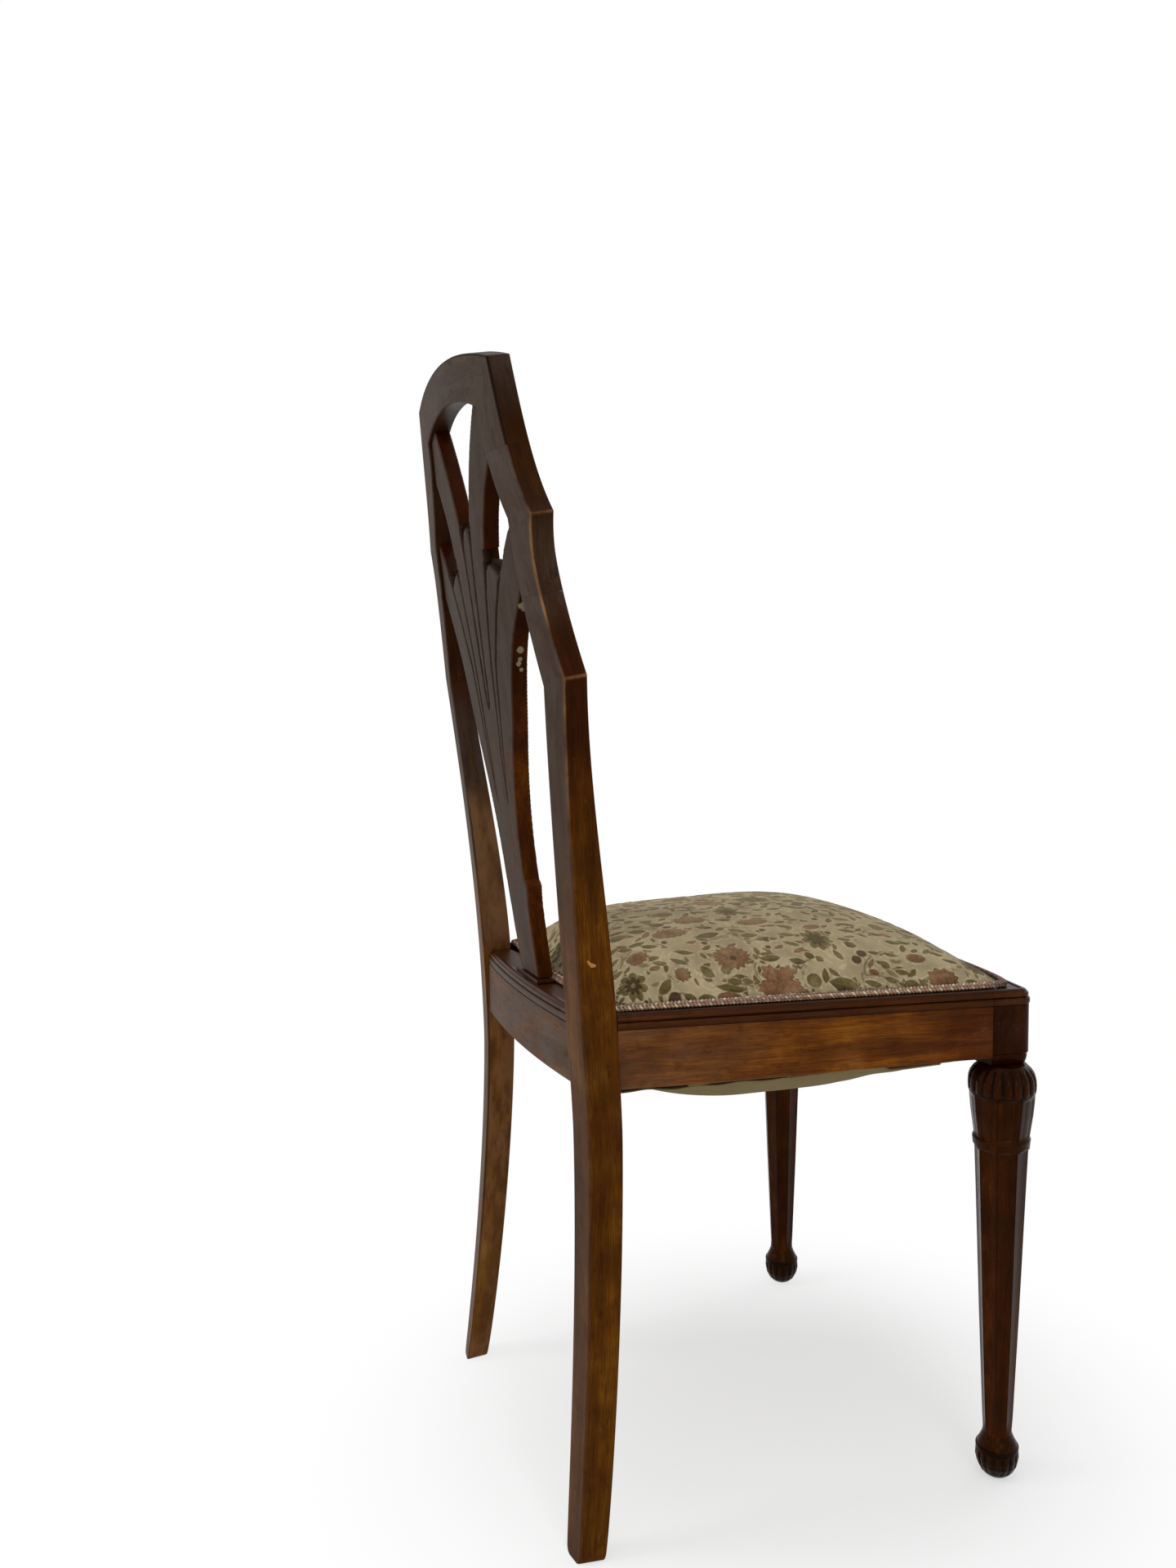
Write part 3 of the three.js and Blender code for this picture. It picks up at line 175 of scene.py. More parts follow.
def capped(loops, extra=()):
    """Closes a stack of loops with a fan at each end, about the loop's mean; extra holds arrays per point."""
    rows, columns = loops.shape[:2]
    count, ring = rows * columns, np.arange(columns)
    ends = [fan(ring, count, backwards=True), fan(count - columns + ring, count + 1)]
    faces = np.concatenate([grid_faces(rows, columns, round_columns=True), *ends])
    extended = []
    for values in (loops, *extra):
        flat = values.reshape(count, -1)
        means = np.stack([flat[:columns].mean(axis=0), flat[-columns:].mean(axis=0)])
        extended.append(np.squeeze(np.concatenate([flat, means])))
    return extended[0], faces, extended[1:]


def joined(parts):
    """Runs several (points, faces, {label: values}) sets together into one."""
    starts = np.cumsum([0] + [len(points) for points, _, _ in parts])
    faces = [np.where(some < 0, -1, some + start) for (_, some, _), start in zip(parts, starts)]
    marks = {label: np.concatenate([part[2][label] for part in parts]) for label in parts[0][2]}
    return np.concatenate([part[0] for part in parts]), np.concatenate(faces), marks


def other_side(part):
    """The same set on the other side of the chair: X changes sign and every face turns round."""
    points, faces, marks = part
    return points * [-1, 1, 1], turned_round(faces), marks


def run_along(line):
    """The length of a line of points up to each of them."""
    return np.concatenate([[0], np.cumsum(np.linalg.norm(np.diff(line, axis=0), axis=1))])


def rides(piece, nodes, finish):
    """Puts a piece on the body in place of the frame's nodes, with its material."""
    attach(piece, BODY)
    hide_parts(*nodes)
    piece.data.materials.append(finish)
    return piece


def add_piece(name, part, node, finish, sharp=32.0):
    return rides(put_mesh(name, *part, sharp=sharp), [node], finish)


def add_pair(name, part, node, finish):
    """One piece for each side of the chair, the right-hand one mirrored."""
    for side, shape in (("left", part), ("right", other_side(part))):
        add_piece(f"{name}_{side}", shape, f"{node}_{side}", finish)


# The back's outlines and depth


def outer_half(z):
    """Half width over the outer edges: power curves between foot, waist, shoulder, neck, cusp and crest."""
    z = np.asarray(z, float)
    leg = blend(WAIST_HALF, FOOT_HALF, (np.clip(WAIST_Z - z, 0, None) / WAIST_Z) ** 1.45)
    post = blend(WAIST_HALF, SHOULDER_HALF, ((z - WAIST_Z) / (SHOULDER_Z - WAIST_Z)) ** 2)
    neck = blend(NECK_HALF, SHOULDER_HALF, (np.clip(NECK_Z - z, 0, None) / (NECK_Z - SHOULDER_Z)) ** 1.5)
    cusp = blend(NECK_HALF, CUSP_HALF, ((z - NECK_Z) / (CUSP_Z - NECK_Z)) ** 2)
    share = np.clip(CREST_Z - z, 0, None) / (CREST_Z - CUSP_Z)
    blade = blend(CREST_HALF, CUSP_HALF, 0.66 * share + 0.34 * share**4)
    below = [z <= top for top in (WAIST_Z, SHOULDER_Z, NECK_Z, CUSP_Z)]
    return np.select(below, [leg, post, neck, cusp], blade)


def inner_half(z):
    """Half width between the inner edges, by the same kind of curves."""
    z = np.asarray(z, float)
    width = blend(FOOT_WIDTH, POST_WIDTH, np.sqrt(np.clip(z / WAIST_Z, 0, 1)))
    swelling = CORNER_HALF - (outer_half(CORNER_Z) - POST_WIDTH)
    post = outer_half(z) - width + swelling * np.clip((z - WAIST_Z) / (CORNER_Z - WAIST_Z), 0, None) ** 2
    neck_share = np.clip(INNER_NECK_Z - z, 0, None) / (INNER_NECK_Z - CORNER_Z)
    neck = blend(INNER_NECK_HALF, CORNER_HALF, neck_share**1.4)
    cusp = blend(INNER_NECK_HALF, INNER_CUSP_HALF, (z - INNER_NECK_Z) / (INNER_CUSP_Z - INNER_NECK_Z))
    top_share = np.clip(INNER_TOP_Z - z, 0, None) / (INNER_TOP_Z - INNER_CUSP_Z)
    top = blend(INNER_TOP_HALF, INNER_CUSP_HALF, top_share**1.9)
    return np.select([z <= CORNER_Z, z <= INNER_NECK_Z, z <= INNER_CUSP_Z], [post, neck, cusp], top)


def edge_line(half, z, grow=0.0):
    """Points of an edge of the back, from its half width at each height."""
    return np.column_stack([half(z) + grow, z])


def crest_underside(x):
    """A parabola that drops by ARCH_DROP over ARCH_HALF."""
    return UNDERSIDE_Z - ARCH_DROP * (x / ARCH_HALF) ** 2


def crest_top(x):
    """A parabola from the crown down to CREST_Z at CREST_HALF."""
    return CROWN_Z - (CROWN_Z - CREST_Z) * (x / CREST_HALF) ** 2


def rear_y(x, z):
    """The rear face's depth: a swept leg, a lagging lean above it, less a parabola across for the dish."""
    z = np.asarray(z, float)
    sweep = np.clip(LEG_WAIST_Z - z, 0, None) / LEG_WAIST_Z
    leg = LEG_WAIST_Y + (FOOT_Y - LEG_WAIST_Y) * sweep**1.65
    share = (z - LEG_WAIST_Z) / (CROWN_Z - LEG_WAIST_Z)
    back = LEG_WAIST_Y + (CROWN_Y - LEG_WAIST_Y) * (share - 0.8 * share * (1 - share) ** 2)
    return np.where(z <= LEG_WAIST_Z, leg, back) - DISH_DEPTH * (x / DISH_HALF) ** 2


def frame_thick(z):
    """The back's thickness: it grows up the leg and thins again up the posts."""
    z = np.asarray(z, float)
    leg = blend(FOOT_THICK, POST_THICK, np.sqrt(np.clip(z / WAIST_Z, 0, 1)))
    return np.where(z <= WAIST_Z, leg, blend(POST_THICK, SHIELD_THICK, smooth_step(WAIST_Z, SHOULDER_Z, z)))


def frame_point(x, z, depth):
    """Depth 0 is the rear face and 1 the front; the front face stands higher and turns out on the posts."""
    thick = frame_thick(z) * depth
    lean = RAKE * smooth_step(LEG_WAIST_Z, SHOULDER_Z, z)
    turn = POST_TURN * (1 - smooth_step(WAIST_Z, SHOULDER_Z, z))
    axes = x + np.sign(x) * turn * thick, rear_y(x, z) - thick, z + lean * thick
    return np.stack(np.broadcast_arrays(*axes), -1)


def rounded_section(radius, fade=0.7, steps=4):
    """A rectangle with round corners, in one loop.

    Returns the corner shares of width and thickness, the millimetres from the corner and how worn each
    point is; the outer rear arris is worn most.
    """
    turn = np.linspace(0, math.pi / 2, steps + 1)
    side = np.concatenate([[0.0], radius * (1 - np.cos(turn)), [radius + fade]])
    face = np.concatenate([[radius + fade], radius * (1 - np.sin(turn)), [0.0]])
    wear = np.concatenate([[0.0], np.ones(len(turn)), [0.0]])
    shares, offsets, worn = [], [], []
    for corner, way, rubbed in (((0, 0), 1, 1.0), ((1, 0), -1, 0.25), ((1, 1), 1, 0.3), ((0, 1), -1, 0.5)):
        shares.append(np.tile(corner, (len(side), 1)))
        offsets.append(np.column_stack([side, face])[::way] * (1 - 2 * np.array(corner)))
        worn.append(wear * rubbed)
    return np.concatenate(shares), np.concatenate(offsets), np.concatenate(worn)


# Heights between which the rear faces' veil grows (partly a dulled finish, partly painted sheen), the painted
# light on the inner faces fades out, and painted sheen greys the crest's outer sides
REAR_DULL_AND_SHEEN, INNER_PAINTED_LIGHT_FADES, CREST_PAINTED_SHEEN = (470, 640), (560, 690), (880, 925)
# Heights of the painted sheen on the neck's outer sides, and of the painted light on the inner sides
NECK_PAINTED_SHEEN, INNER_PAINTED_LIGHT = (712, 770, 805, 832), (425, 445, 640, 700)
# How often the arrises are worn through, by height
ARRIS_WEAR = np.array([(0, 0.3), (430, 0.4), (600, 0.75), (697, 0.85), (715, 0.45), (750, 1), (819, 1),
                       (835, 0.35), (900, 0.2)]).T


def band(outer, inner, worn_outer, radius=1.4, seam=False):
    """Carries a rounded section between an outer and an inner line of the back, given as X and Z.

    A point is frame_point(mix(outer, inner, u), d), with u and d running round the section. worn_outer marks
    the places where the outer face is rubbed too; a seam is a dark line in place of the worn rear arris.
    """
    shares, offsets, worn = rounded_section(radius)
    width = np.linalg.norm(outer - inner, axis=1)[:, None]
    thick = frame_thick(outer[:, 1])[:, None]
    across = shares[:, 0] + offsets[:, 0] / width
    depth = shares[:, 1] + offsets[:, 1] / thick
    x, z = (blend(outer[:, k, None], inner[:, k, None], across) for k in (0, 1))
    loops = frame_point(x, z, depth)
    middle = (outer + inner) / 2
    grain = np.stack(np.broadcast_arrays(across * width, depth * thick, run_along(middle)[:, None]), -1)
    height = middle[:, 1:]
    edge = worn * (0.0 if seam else 1.0) * np.interp(height, *ARRIS_WEAR)
    edge = np.maximum(edge, worn_outer[:, None] * (across * width < 0.6 * radius))
    on_outer, on_inner, on_rear = across < 0.1, across > 0.9, depth < 0.06
    # Painted light on the lower inner faces, carried by the edge attribute like a worn arris.
    edge = np.maximum(edge, 0.84 * (1 - smooth_step(*INNER_PAINTED_LIGHT_FADES, height)) * on_inner * ~on_rear)
    # Painted sheen greys the outer sides at the neck and crest, and painted light greys the inner sides,
    # through the rear attribute's veil.
    outer_painted_sheen = 0.42 * plateau(*NECK_PAINTED_SHEEN, height) + 0.5 * smooth_step(*CREST_PAINTED_SHEEN, height)
    inner_dull_and_painted_light = 0.1 + 0.6 * plateau(*INNER_PAINTED_LIGHT, height)
    sides = np.where(on_outer, outer_painted_sheen, np.where(on_inner, inner_dull_and_painted_light, 0.1))
    # The rear faces' veil is partly a dulled finish and partly painted sheen, growing higher up.
    rear = np.where(on_rear, 0.3 + 0.7 * smooth_step(*REAR_DULL_AND_SHEEN, height), sides)
    groove = worn * (shares < 0.5).all(axis=1) * (0.9 if seam else 0.0) + 0 * depth
    points, faces, (grain, edge, rear, groove) = capped(loops, (grain, edge, rear, groove))
    return points, faces, {"grain": grain * MM, "edge": edge, "rear": rear, "groove": groove}


def near(values, place, reach):
    """1 at the place, falling to 0 at the reach."""
    return np.clip(1 - np.abs(values - place) / reach, 0, 1)


def steps_through(start, *stops):
    """Runs from start through (value, count) stops, each reached in count equal steps."""
    values = [[start]]
    for high, count in stops:
        values.append(np.linspace(values[-1][-1], high, count + 1)[1:])
    return np.concatenate(values)


def post_part():
    """Back leg and post in one, from the floor to the shoulder joint; its foot is rounded."""
    def heights(step_z):
        return steps_through(0, (FOOT_ROUND, 6), (WAIST_Z, 46), (step_z - 0.8, 40), (step_z + 0.8, 2),
                             (SHOULDER_JOINT_Z - JOINT_GAP, 14))

    outer_z, inner_z = heights(SHOULDER_Z), heights(CORNER_Z)
    round_foot = 3.4 * (1 - np.sqrt(1 - (1 - np.clip(outer_z / FOOT_ROUND, 0, 1)) ** 2))
    outer, inner = edge_line(outer_half, outer_z, -round_foot), edge_line(inner_half, inner_z, round_foot)
    return band(outer, inner, near(outer_z, SHOULDER_Z, 5))


def shoulder_part():
    """The upper side of the shield, from the shoulder joint past the neck and cusp to the crest joint."""
    def heights(neck_z, cusp_low, cusp_high):
        return steps_through(SHOULDER_JOINT_Z + JOINT_GAP, (neck_z, 8), (cusp_low, 8), (cusp_high, 2),
                             (CREST_JOINT_Z - 0.1, 16))

    outer_z = heights(NECK_Z, CUSP_Z - 0.6, CUSP_Z + 0.6)
    inner_z = heights(INNER_NECK_Z, INNER_CUSP_Z - 0.4, INNER_CUSP_Z + 0.4)
    return band(edge_line(outer_half, outer_z), edge_line(inner_half, inner_z), near(outer_z, CUSP_Z, 5))


def crest_part(steps=14):
    """The arched top rail, from one crest joint round to the other."""
    def arched(half, corner_z, top_half, top):
        side = edge_line(half, steps_through(CREST_JOINT_Z, (corner_z, steps)))
        x = np.linspace(top_half, -top_half, 49)[1:-1]
        return np.concatenate([side, np.column_stack([x, top(x)]), side[::-1] * [-1, 1]])

    outer = arched(outer_half, CREST_Z, CREST_HALF, crest_top)
    inner = arched(inner_half, INNER_TOP_Z, INNER_TOP_HALF, crest_underside)
    corner = np.zeros(len(outer))
    corner[[steps, -steps - 1]] = 0.5
    return band(outer, inner, corner, seam=True)


# Splat


def splat_point(x, z, depth_mm):
    """A point of the splat, depth_mm in front of its rear face: a bowed line less the dish."""
    share = (z - SPLAT_FOOT_Z) / (CROWN_Z - SPLAT_FOOT_Z)
    line = blend(SPLAT_FOOT_Y, SPLAT_TOP_Y, share) + 4 * SPLAT_BOW * share * (1 - share)
    y = line - DISH_DEPTH * (x / DISH_HALF) ** 2 - depth_mm
    lean = RAKE * smooth_step(LEG_WAIST_Z, SHOULDER_Z, z)
    return np.stack([x, y, z + lean * (rear_y(x, z) - y)], -1)


def bowed(start, end, bow, steps):
    """Points from start to end on a parabola that stands bow off the straight line."""
    start, end = np.asarray(start, float), np.asarray(end, float)
    off = np.array([start[1] - end[1], end[0] - start[0]])
    off /= np.linalg.norm(off)
    share = np.linspace(0, 1, steps + 1)[:, None]
    return start + (end - start) * share + off * 4 * bow * share * (1 - share)


def through(points, steps):
    """A smooth curve through the points: cubic pieces whose slopes are the mean of their neighbours."""
    points = np.asarray(points, float)
    slope = np.gradient(points, axis=0)
    share = np.linspace(0, 1, steps, endpoint=False)[None, :, None]
    start, end = points[:-1, None], points[1:, None]
    a, b = slope[:-1, None], slope[1:, None]
    t2, t3 = share**2, share**3
    curve = (2 * t3 - 3 * t2 + 1) * start + (t3 - 2 * t2 + share) * a
    curve = curve + (3 * t2 - 2 * t3) * end + (t3 - t2) * b
    return np.concatenate([curve.reshape(-1, points.shape[1]), points[-1:]])


def splat_half():
    """The splat's outline on one side, from the foot up the wing, round both openings, to the kite's foot."""
    wing = float(inner_half(SPLAT_WING_Z)) - FIT
    shares = np.array([(0.2, 0), (0.23, 0.25), (0.254, 0.375), (0.336, 0.512), (0.475, 0.657), (0.631, 0.815),
                       (0.779, 0.906), (1, 1)])
    heights = blend(SPLAT_FOOT_Z, SPLAT_WING_Z, shares[:, 1])
    lower = through(np.column_stack([shares[:, 0] * wing, heights]), 8)
    crest_x = np.linspace(INNER_TOP_HALF - FIT, ARCH_HALF, 9)
    crest = np.column_stack([crest_x, crest_underside(crest_x) - FIT])
    wing_edge = edge_line(inner_half, np.linspace(SPLAT_WING_Z, INNER_CUSP_Z, 13), -FIT)
    root_edge = edge_line(inner_half, np.linspace(SPLAT_ROOT_Z, INNER_TOP_Z - FIT, 13), -FIT)
    return np.concatenate([
        lower[:-1],
        wing_edge[:-1],
        bowed((INNER_CUSP_HALF - FIT, INNER_CUSP_Z), (86, 789), -2.5, 12),
        bowed((45.4, 795), root_edge[0], 6.3, 24),
        root_edge[1:-1],
        crest,
        bowed(crest[-1], (16.4, 827), -4, 24)[1:],
    ])


def splat_outline():
    """The whole outline; the right-hand edge steps out to a heel near the foot."""
    left = splat_half()
    rising = left[(left[:, 1] > HEEL_Z + HEEL_STEP) | (left[:, 0] > HEEL_HALF)]
    curve = through([(SPLAT_FOOT_HALF, SPLAT_FOOT_Z), (27.6, 494.3), (HEEL_HALF, HEEL_Z)], 8)
    right = np.concatenate([curve, [[rising[0, 0], HEEL_Z + HEEL_STEP]], rising])
    return np.concatenate([left, (right * [-1, 1])[::-1]])


def nearest_on(points, line, closed=True):
    """For each point, the nearest place on a line of straight stretches and how far off it is."""
    start = line if closed else line[:-1]
    end = np.roll(line, -1, axis=0) if closed else line[1:]
    run = end - start
    best_gap = np.full(len(points), np.inf)
    best_place = np.zeros_like(points)
    for block in range(0, len(points), 4000):
        here = points[block : block + 4000, None, :]
        share = ((here - start) * run).sum(-1) / np.maximum((run**2).sum(-1), 1e-9)
        place = start + np.clip(share, 0, 1)[..., None] * run
        gap = np.linalg.norm(here - place, axis=-1)
        best = gap.argmin(axis=1)
        rows = np.arange(len(best))
        best_gap[block : block + 4000] = gap[rows, best]
        best_place[block : block + 4000] = place[rows, best]
    return best_place, best_gap


def inside(points, outline):
    """Whether each point lies within the outline, by counting the sides that a level ray crosses."""
    start, end = outline, np.roll(outline, -1, axis=0)
    hits = np.zeros(len(points), int)
    for (x0, z0), (x1, z1) in zip(start, end):
        spans = (z0 > points[:, 1]) != (z1 > points[:, 1])
        if z0 != z1:
            reach = x0 + (points[:, 1] - z0) * (x1 - x0) / (z1 - z0)
            hits += spans & (points[:, 0] < reach)
    return hits % 2 == 1


def mirrored_lines(*lines):
    """Lines of the splat, and then the same lines on its other side."""
    return [np.multiply(line, (side, 1)) for side in (1, -1) for line in lines]


def compacted(faces):
    """The numbers of the points that faces use, and the faces renumbered to them."""
    used, order = np.unique(faces, return_inverse=True)
    return used, order.reshape(faces.shape)


# Carving of the splat, as lines in its own plane: X and Z in millimetres

OUTER_CUT = through([(76, 778), (70.7, 770.7), (60, 753.6), (51, 735.5), (41.8, 715.5), (36.4, 700),
                     (15.7, 588)], 6)
BLADE_CUT = through([(43.3, 791), (39, 773), (34.5, 752), (29, 728), (24.5, 700), (20, 655), (17.3, 628),
                     (15.7, 588)], 6)
CENTRE_CUT = through([(16.4, 824.5), (11.8, 801), (9.6, 781), (7.6, 752), (5.4, 715), (4, 685), (2.2, 673),
                      (0, 670)], 6)
SIDE_TIP = through([(76, 778), (70, 781.5), (63, 785.5), (56, 788.5), (50, 788.5), (44.5, 783),
                    (40.5, 772)], 5)
CENTRE_TIP = through([(11.6, 800), (10.4, 811), (6.5, 820.5), (0, 824.5)], 5)


def carved_depth(spot):
    """How deep the carving goes at each place, in millimetres.

    A groove is a V that deepens up the fan; the webs beyond the tips of the lobes lie 6 lower, and the
    lobes round over towards their tips.
    """
    rise = smooth_step(585, 720, spot[:, 1])
    depth = np.zeros(len(spot))
    for line in mirrored_lines(OUTER_CUT, BLADE_CUT, CENTRE_CUT):
        gap = nearest_on(spot, line, closed=False)[1]
        depth = np.maximum(depth, (0.9 + 2.9 * rise) * np.clip(1.12 - gap / (1.1 + 0.9 * rise), 0, 1))
    other_tip, other_cut = CENTRE_TIP * [-1, 1], CENTRE_CUT * [-1, 1]
    lobes = mirrored_lines(np.concatenate([OUTER_CUT[::-1], SIDE_TIP[1:], BLADE_CUT[12:]]))
    lobes.append(np.concatenate([CENTRE_CUT[::-1], CENTRE_TIP[1:], other_tip[-2::-1], other_cut]))
    webs = mirrored_lines([(76, 778), (88, 789), (92, 802), (44, 802), (43.6, 792), (40.5, 772), (50, 770)])
    webs.append(np.array([(11.8, 796), (17.5, 830), (-17.5, 830), (-11.8, 796)]))
    tips = [*mirrored_lines(SIDE_TIP), np.concatenate([CENTRE_TIP, other_tip[::-1]])]
    for lobe, web, tip in zip(lobes, webs, tips):
        gap = nearest_on(spot, tip, closed=False)[1]
        within = inside(spot, lobe)
        depth = np.where(inside(spot, web) & ~within, np.maximum(depth, 6 * smooth_step(0, 1.3, gap)), depth)
        depth = np.where(within, np.maximum(depth, 1.4 * np.clip(1 - gap / 3.2, 0, 1) ** 2), depth)
    return depth


def splat_part(pitch=1.06, radius=1.1):
    """A board on a square grid, cut to the outline, with carving sunk in both faces.

    Cells whose middle is inside are kept, and their outer corners move to the nearest place on the
    outline. Near the edge, both faces roll off over a quarter circle of the given radius.
    """
    outline = splat_outline()
    low, high = outline.min(axis=0) - pitch, outline.max(axis=0) + pitch
    columns, rows = (np.ceil((high - low) / pitch)).astype(int) + 1
    x, z = np.meshgrid(low[0] + pitch * np.arange(columns), low[1] + pitch * np.arange(rows))
    nodes = np.column_stack([x.ravel(), z.ravel()])
    cells = grid_faces(rows, columns)
    within = inside(nodes[cells].mean(axis=1), outline)
    used, faces = compacted(cells[within])
    border = np.intersect1d(used, cells[~within])
    nodes[border] = nearest_on(nodes[border], outline)[0]
    spot = nodes[used]
    edge_gap = nearest_on(spot, outline)[1]
    carved = carved_depth(spot)
    roll = radius - np.sqrt(np.maximum(radius**2 - np.clip(radius - edge_gap, 0, None) ** 2, 0))
    sunk = np.maximum(carved, roll)
    sides = np.concatenate([faces[:, [k, (k + 1) % 4]] for k in range(4)])
    _, first, count = np.unique(np.sort(sides, axis=1), axis=0, return_index=True, return_counts=True)
    rim, total = sides[first[count == 1]], len(spot)
    walls = np.column_stack([rim[:, ::-1], rim + total])
    depths = (sunk, SPLAT_THICK - sunk)
    points = np.concatenate([splat_point(*spot.T, depth) for depth in depths])
    grain = np.concatenate([np.column_stack([spot[:, 0], depth, spot[:, 1]]) for depth in depths])
    marks = {
        "grain": grain * MM,
        "edge": np.tile(0.35 * np.clip(1 - edge_gap / 1.6, 0, 1), 2),
        # rear: the dull veil of the rear face, partly a dulled finish and partly painted sheen.
        "rear": np.concatenate([edge_gap > 0.4, np.zeros(total)]),
        # groove: painted shade in the carved grooves and the sunk webs.
        "groove": np.tile(np.clip(carved / 3, 0, 1), 2),
    }
    return points, np.concatenate([faces[:, ::-1], faces + total, walls]), marks


# Seat frame: profiles carried along lines in plan

SIDE_SLOPE = (SIDE_FRONT_X - SIDE_REAR_X) / (SIDE_REAR_Y - FRONT_Y - FRONT_BOW)
SIDE_TURN, FRONT_TURN = math.atan(SIDE_SLOPE), math.atan(2 * FRONT_BOW / FRONT_HALF)


def stacked(levels):
    """Loops from pairs of an outline in plan and the height it lies at."""
    return np.stack([np.column_stack([outline, np.full(len(outline), z)]) for outline, z in levels])


def shoe_part(height=3, half=31, front=147.6, rear=165):
    """The low shoe under the splat's foot: a plate with a bevelled top, on the rear rail."""
    levels = []
    for inset, z in ((0, 0), (0, 0.6 * height), (0.35 * height, height)):
        x, near_y, far_y = half - inset, front + inset, rear - inset
        levels.append(([(x, near_y), (x, far_y), (-x, far_y), (-x, near_y)], RAIL_TOP + FIT + z))
    return capped(stacked(levels))[:2]


def side_x(y, inset):
    """The side rail's slanting outer face in plan, set in square to itself."""
    return SIDE_REAR_X + SIDE_SLOPE * (SIDE_REAR_Y - y) - inset / math.cos(SIDE_TURN)


def front_y(x, inset):
    """The front rail's outer face in plan, a parabola bowed by FRONT_BOW."""
    return FRONT_Y + FRONT_BOW * (x / FRONT_HALF) ** 2 + inset


def rear_rail_y(x):
    """The rear rail's outer face in plan, a parabola bowed by REAR_BOW."""
    return REAR_RAIL_Y - REAR_BOW * (x / REAR_BOW_HALF) ** 2


def block_corner(inset):
    """The centre and the radius of the front block's round corner, for faces set in by inset."""
    radius = max(BLOCK_ROUND - inset, 0.4)
    y = front_y(FRONT_HALF - BLOCK_ROUND, inset) + radius / math.cos(FRONT_TURN)
    return np.array([side_x(y, inset + radius), y]), radius


(CORNER_X, CORNER_Y), _ = block_corner(0)
BLOCK_REAR_Y = front_y(FRONT_HALF, 0) + BLOCK_DEPTH
BLOCK_INNER_X = side_x(BLOCK_REAR_Y, 0) - BLOCK_WIDTH


def side_line(low, high, steps):
    """Places and outward ways along the outer face of the left side."""
    y = np.linspace(low, high, steps)
    out = np.tile([math.cos(SIDE_TURN), math.sin(SIDE_TURN)], (steps, 1))
    return np.column_stack([side_x(y, 0), y]), out


def corner_line(steps, inset=0.0):
    """Places and outward ways round the front block's corner."""
    angle = np.linspace(SIDE_TURN, FRONT_TURN - math.pi / 2, steps)
    out = np.column_stack([np.cos(angle), np.sin(angle)])
    centre, radius = block_corner(inset)
    return centre + radius * out, out


def cross_line(x, y, slope, way):
    """Places and outward ways along a bowed rail; way is 1 for the rear and -1 for the front."""
    out = np.column_stack([-way * slope, np.full(len(x), way)]) / np.hypot(1, slope)[:, None]
    return np.column_stack([x, y]), out


def front_line(reach, steps):
    """The front rail's outer face from reach on the left to as far on the right."""
    x = np.linspace(reach, -reach, steps)
    return cross_line(x, front_y(x, 0), 2 * FRONT_BOW * x / FRONT_HALF**2, -1)


def rear_line(reach, steps):
    """The same for the rear rail."""
    x = np.linspace(reach, -reach, steps)
    return cross_line(x, rear_rail_y(x), -2 * REAR_BOW * x / REAR_BOW_HALF**2, 1)


def arc(centre, radius, start, end, steps=5):
    """Points on a circle between two angles in degrees."""
    angle = np.radians(np.linspace(start, end, steps))
    return np.column_stack([centre[0] + radius * np.cos(angle), centre[1] + radius * np.sin(angle)])


def carried(line, profile, wear, thick=None):
    """Carries a closed profile of (outward, height) along a line in plan.

    A point is place + way * outward, at the profile's height. thick scales the inward reach.
    """
    place, out = line
    outward = np.broadcast_to(profile[:, 0], (len(place), len(profile)))
    if thick is not None:
        outward = np.where(outward < -MOULD_WIDTH - 1, outward * thick[:, None], outward)
    flat = place[:, None] + out[:, None] * outward[..., None]
    loops = np.stack(np.broadcast_arrays(flat[..., 0], flat[..., 1], profile[:, 1]), -1)
    grain = np.stack(np.broadcast_arrays(outward, profile[:, 1], run_along(place)[:, None]), -1)
    points, faces, (grain, edge) = capped(loops, (grain, np.broadcast_to(wear, outward.shape)))
    marks = {"grain": grain * MM, "edge": edge, "rear": np.zeros(len(points))}
    # groove: painted shade on the rail's top face.
    marks["groove"] = 0.7 * (np.abs(points[:, 2] - RAIL_TOP) < 0.1)
    return points, faces, marks


def rail_profile(thick, rabbet=MOULD_WIDTH + FIT):
    """A rail's section: round lower arrises, flat faces, and a step at the top for the moulding."""
    profile = np.concatenate([
        [[-5 - FACE_INSET, RAIL_BOTTOM]],
        arc((-2 - FACE_INSET, RAIL_BOTTOM + 2), 2, -90, 0),
        [[-FACE_INSET, RAIL_BOTTOM + 3.5], [-FACE_INSET, MOULD_BOTTOM - 12], [-FACE_INSET, MOULD_BOTTOM]],
        [[-rabbet - FACE_INSET, MOULD_BOTTOM], [-rabbet - FACE_INSET, RAIL_TOP], [-thick, RAIL_TOP]],
        arc((-thick + 1, RAIL_BOTTOM + 1), 1, 180, 270, 3),
    ])
    wear = np.zeros(len(profile))
    wear[1:6] = 0.7
    return profile, wear


def reed_arc(face, swell, low, high):
    """Half an ellipse that stands out by swell from a face, between two heights."""
    turn = np.radians(np.linspace(-90, 90, 11))
    return np.column_stack([face + swell * np.cos(turn), (low + high) / 2 + (high - low) / 2 * np.sin(turn)])


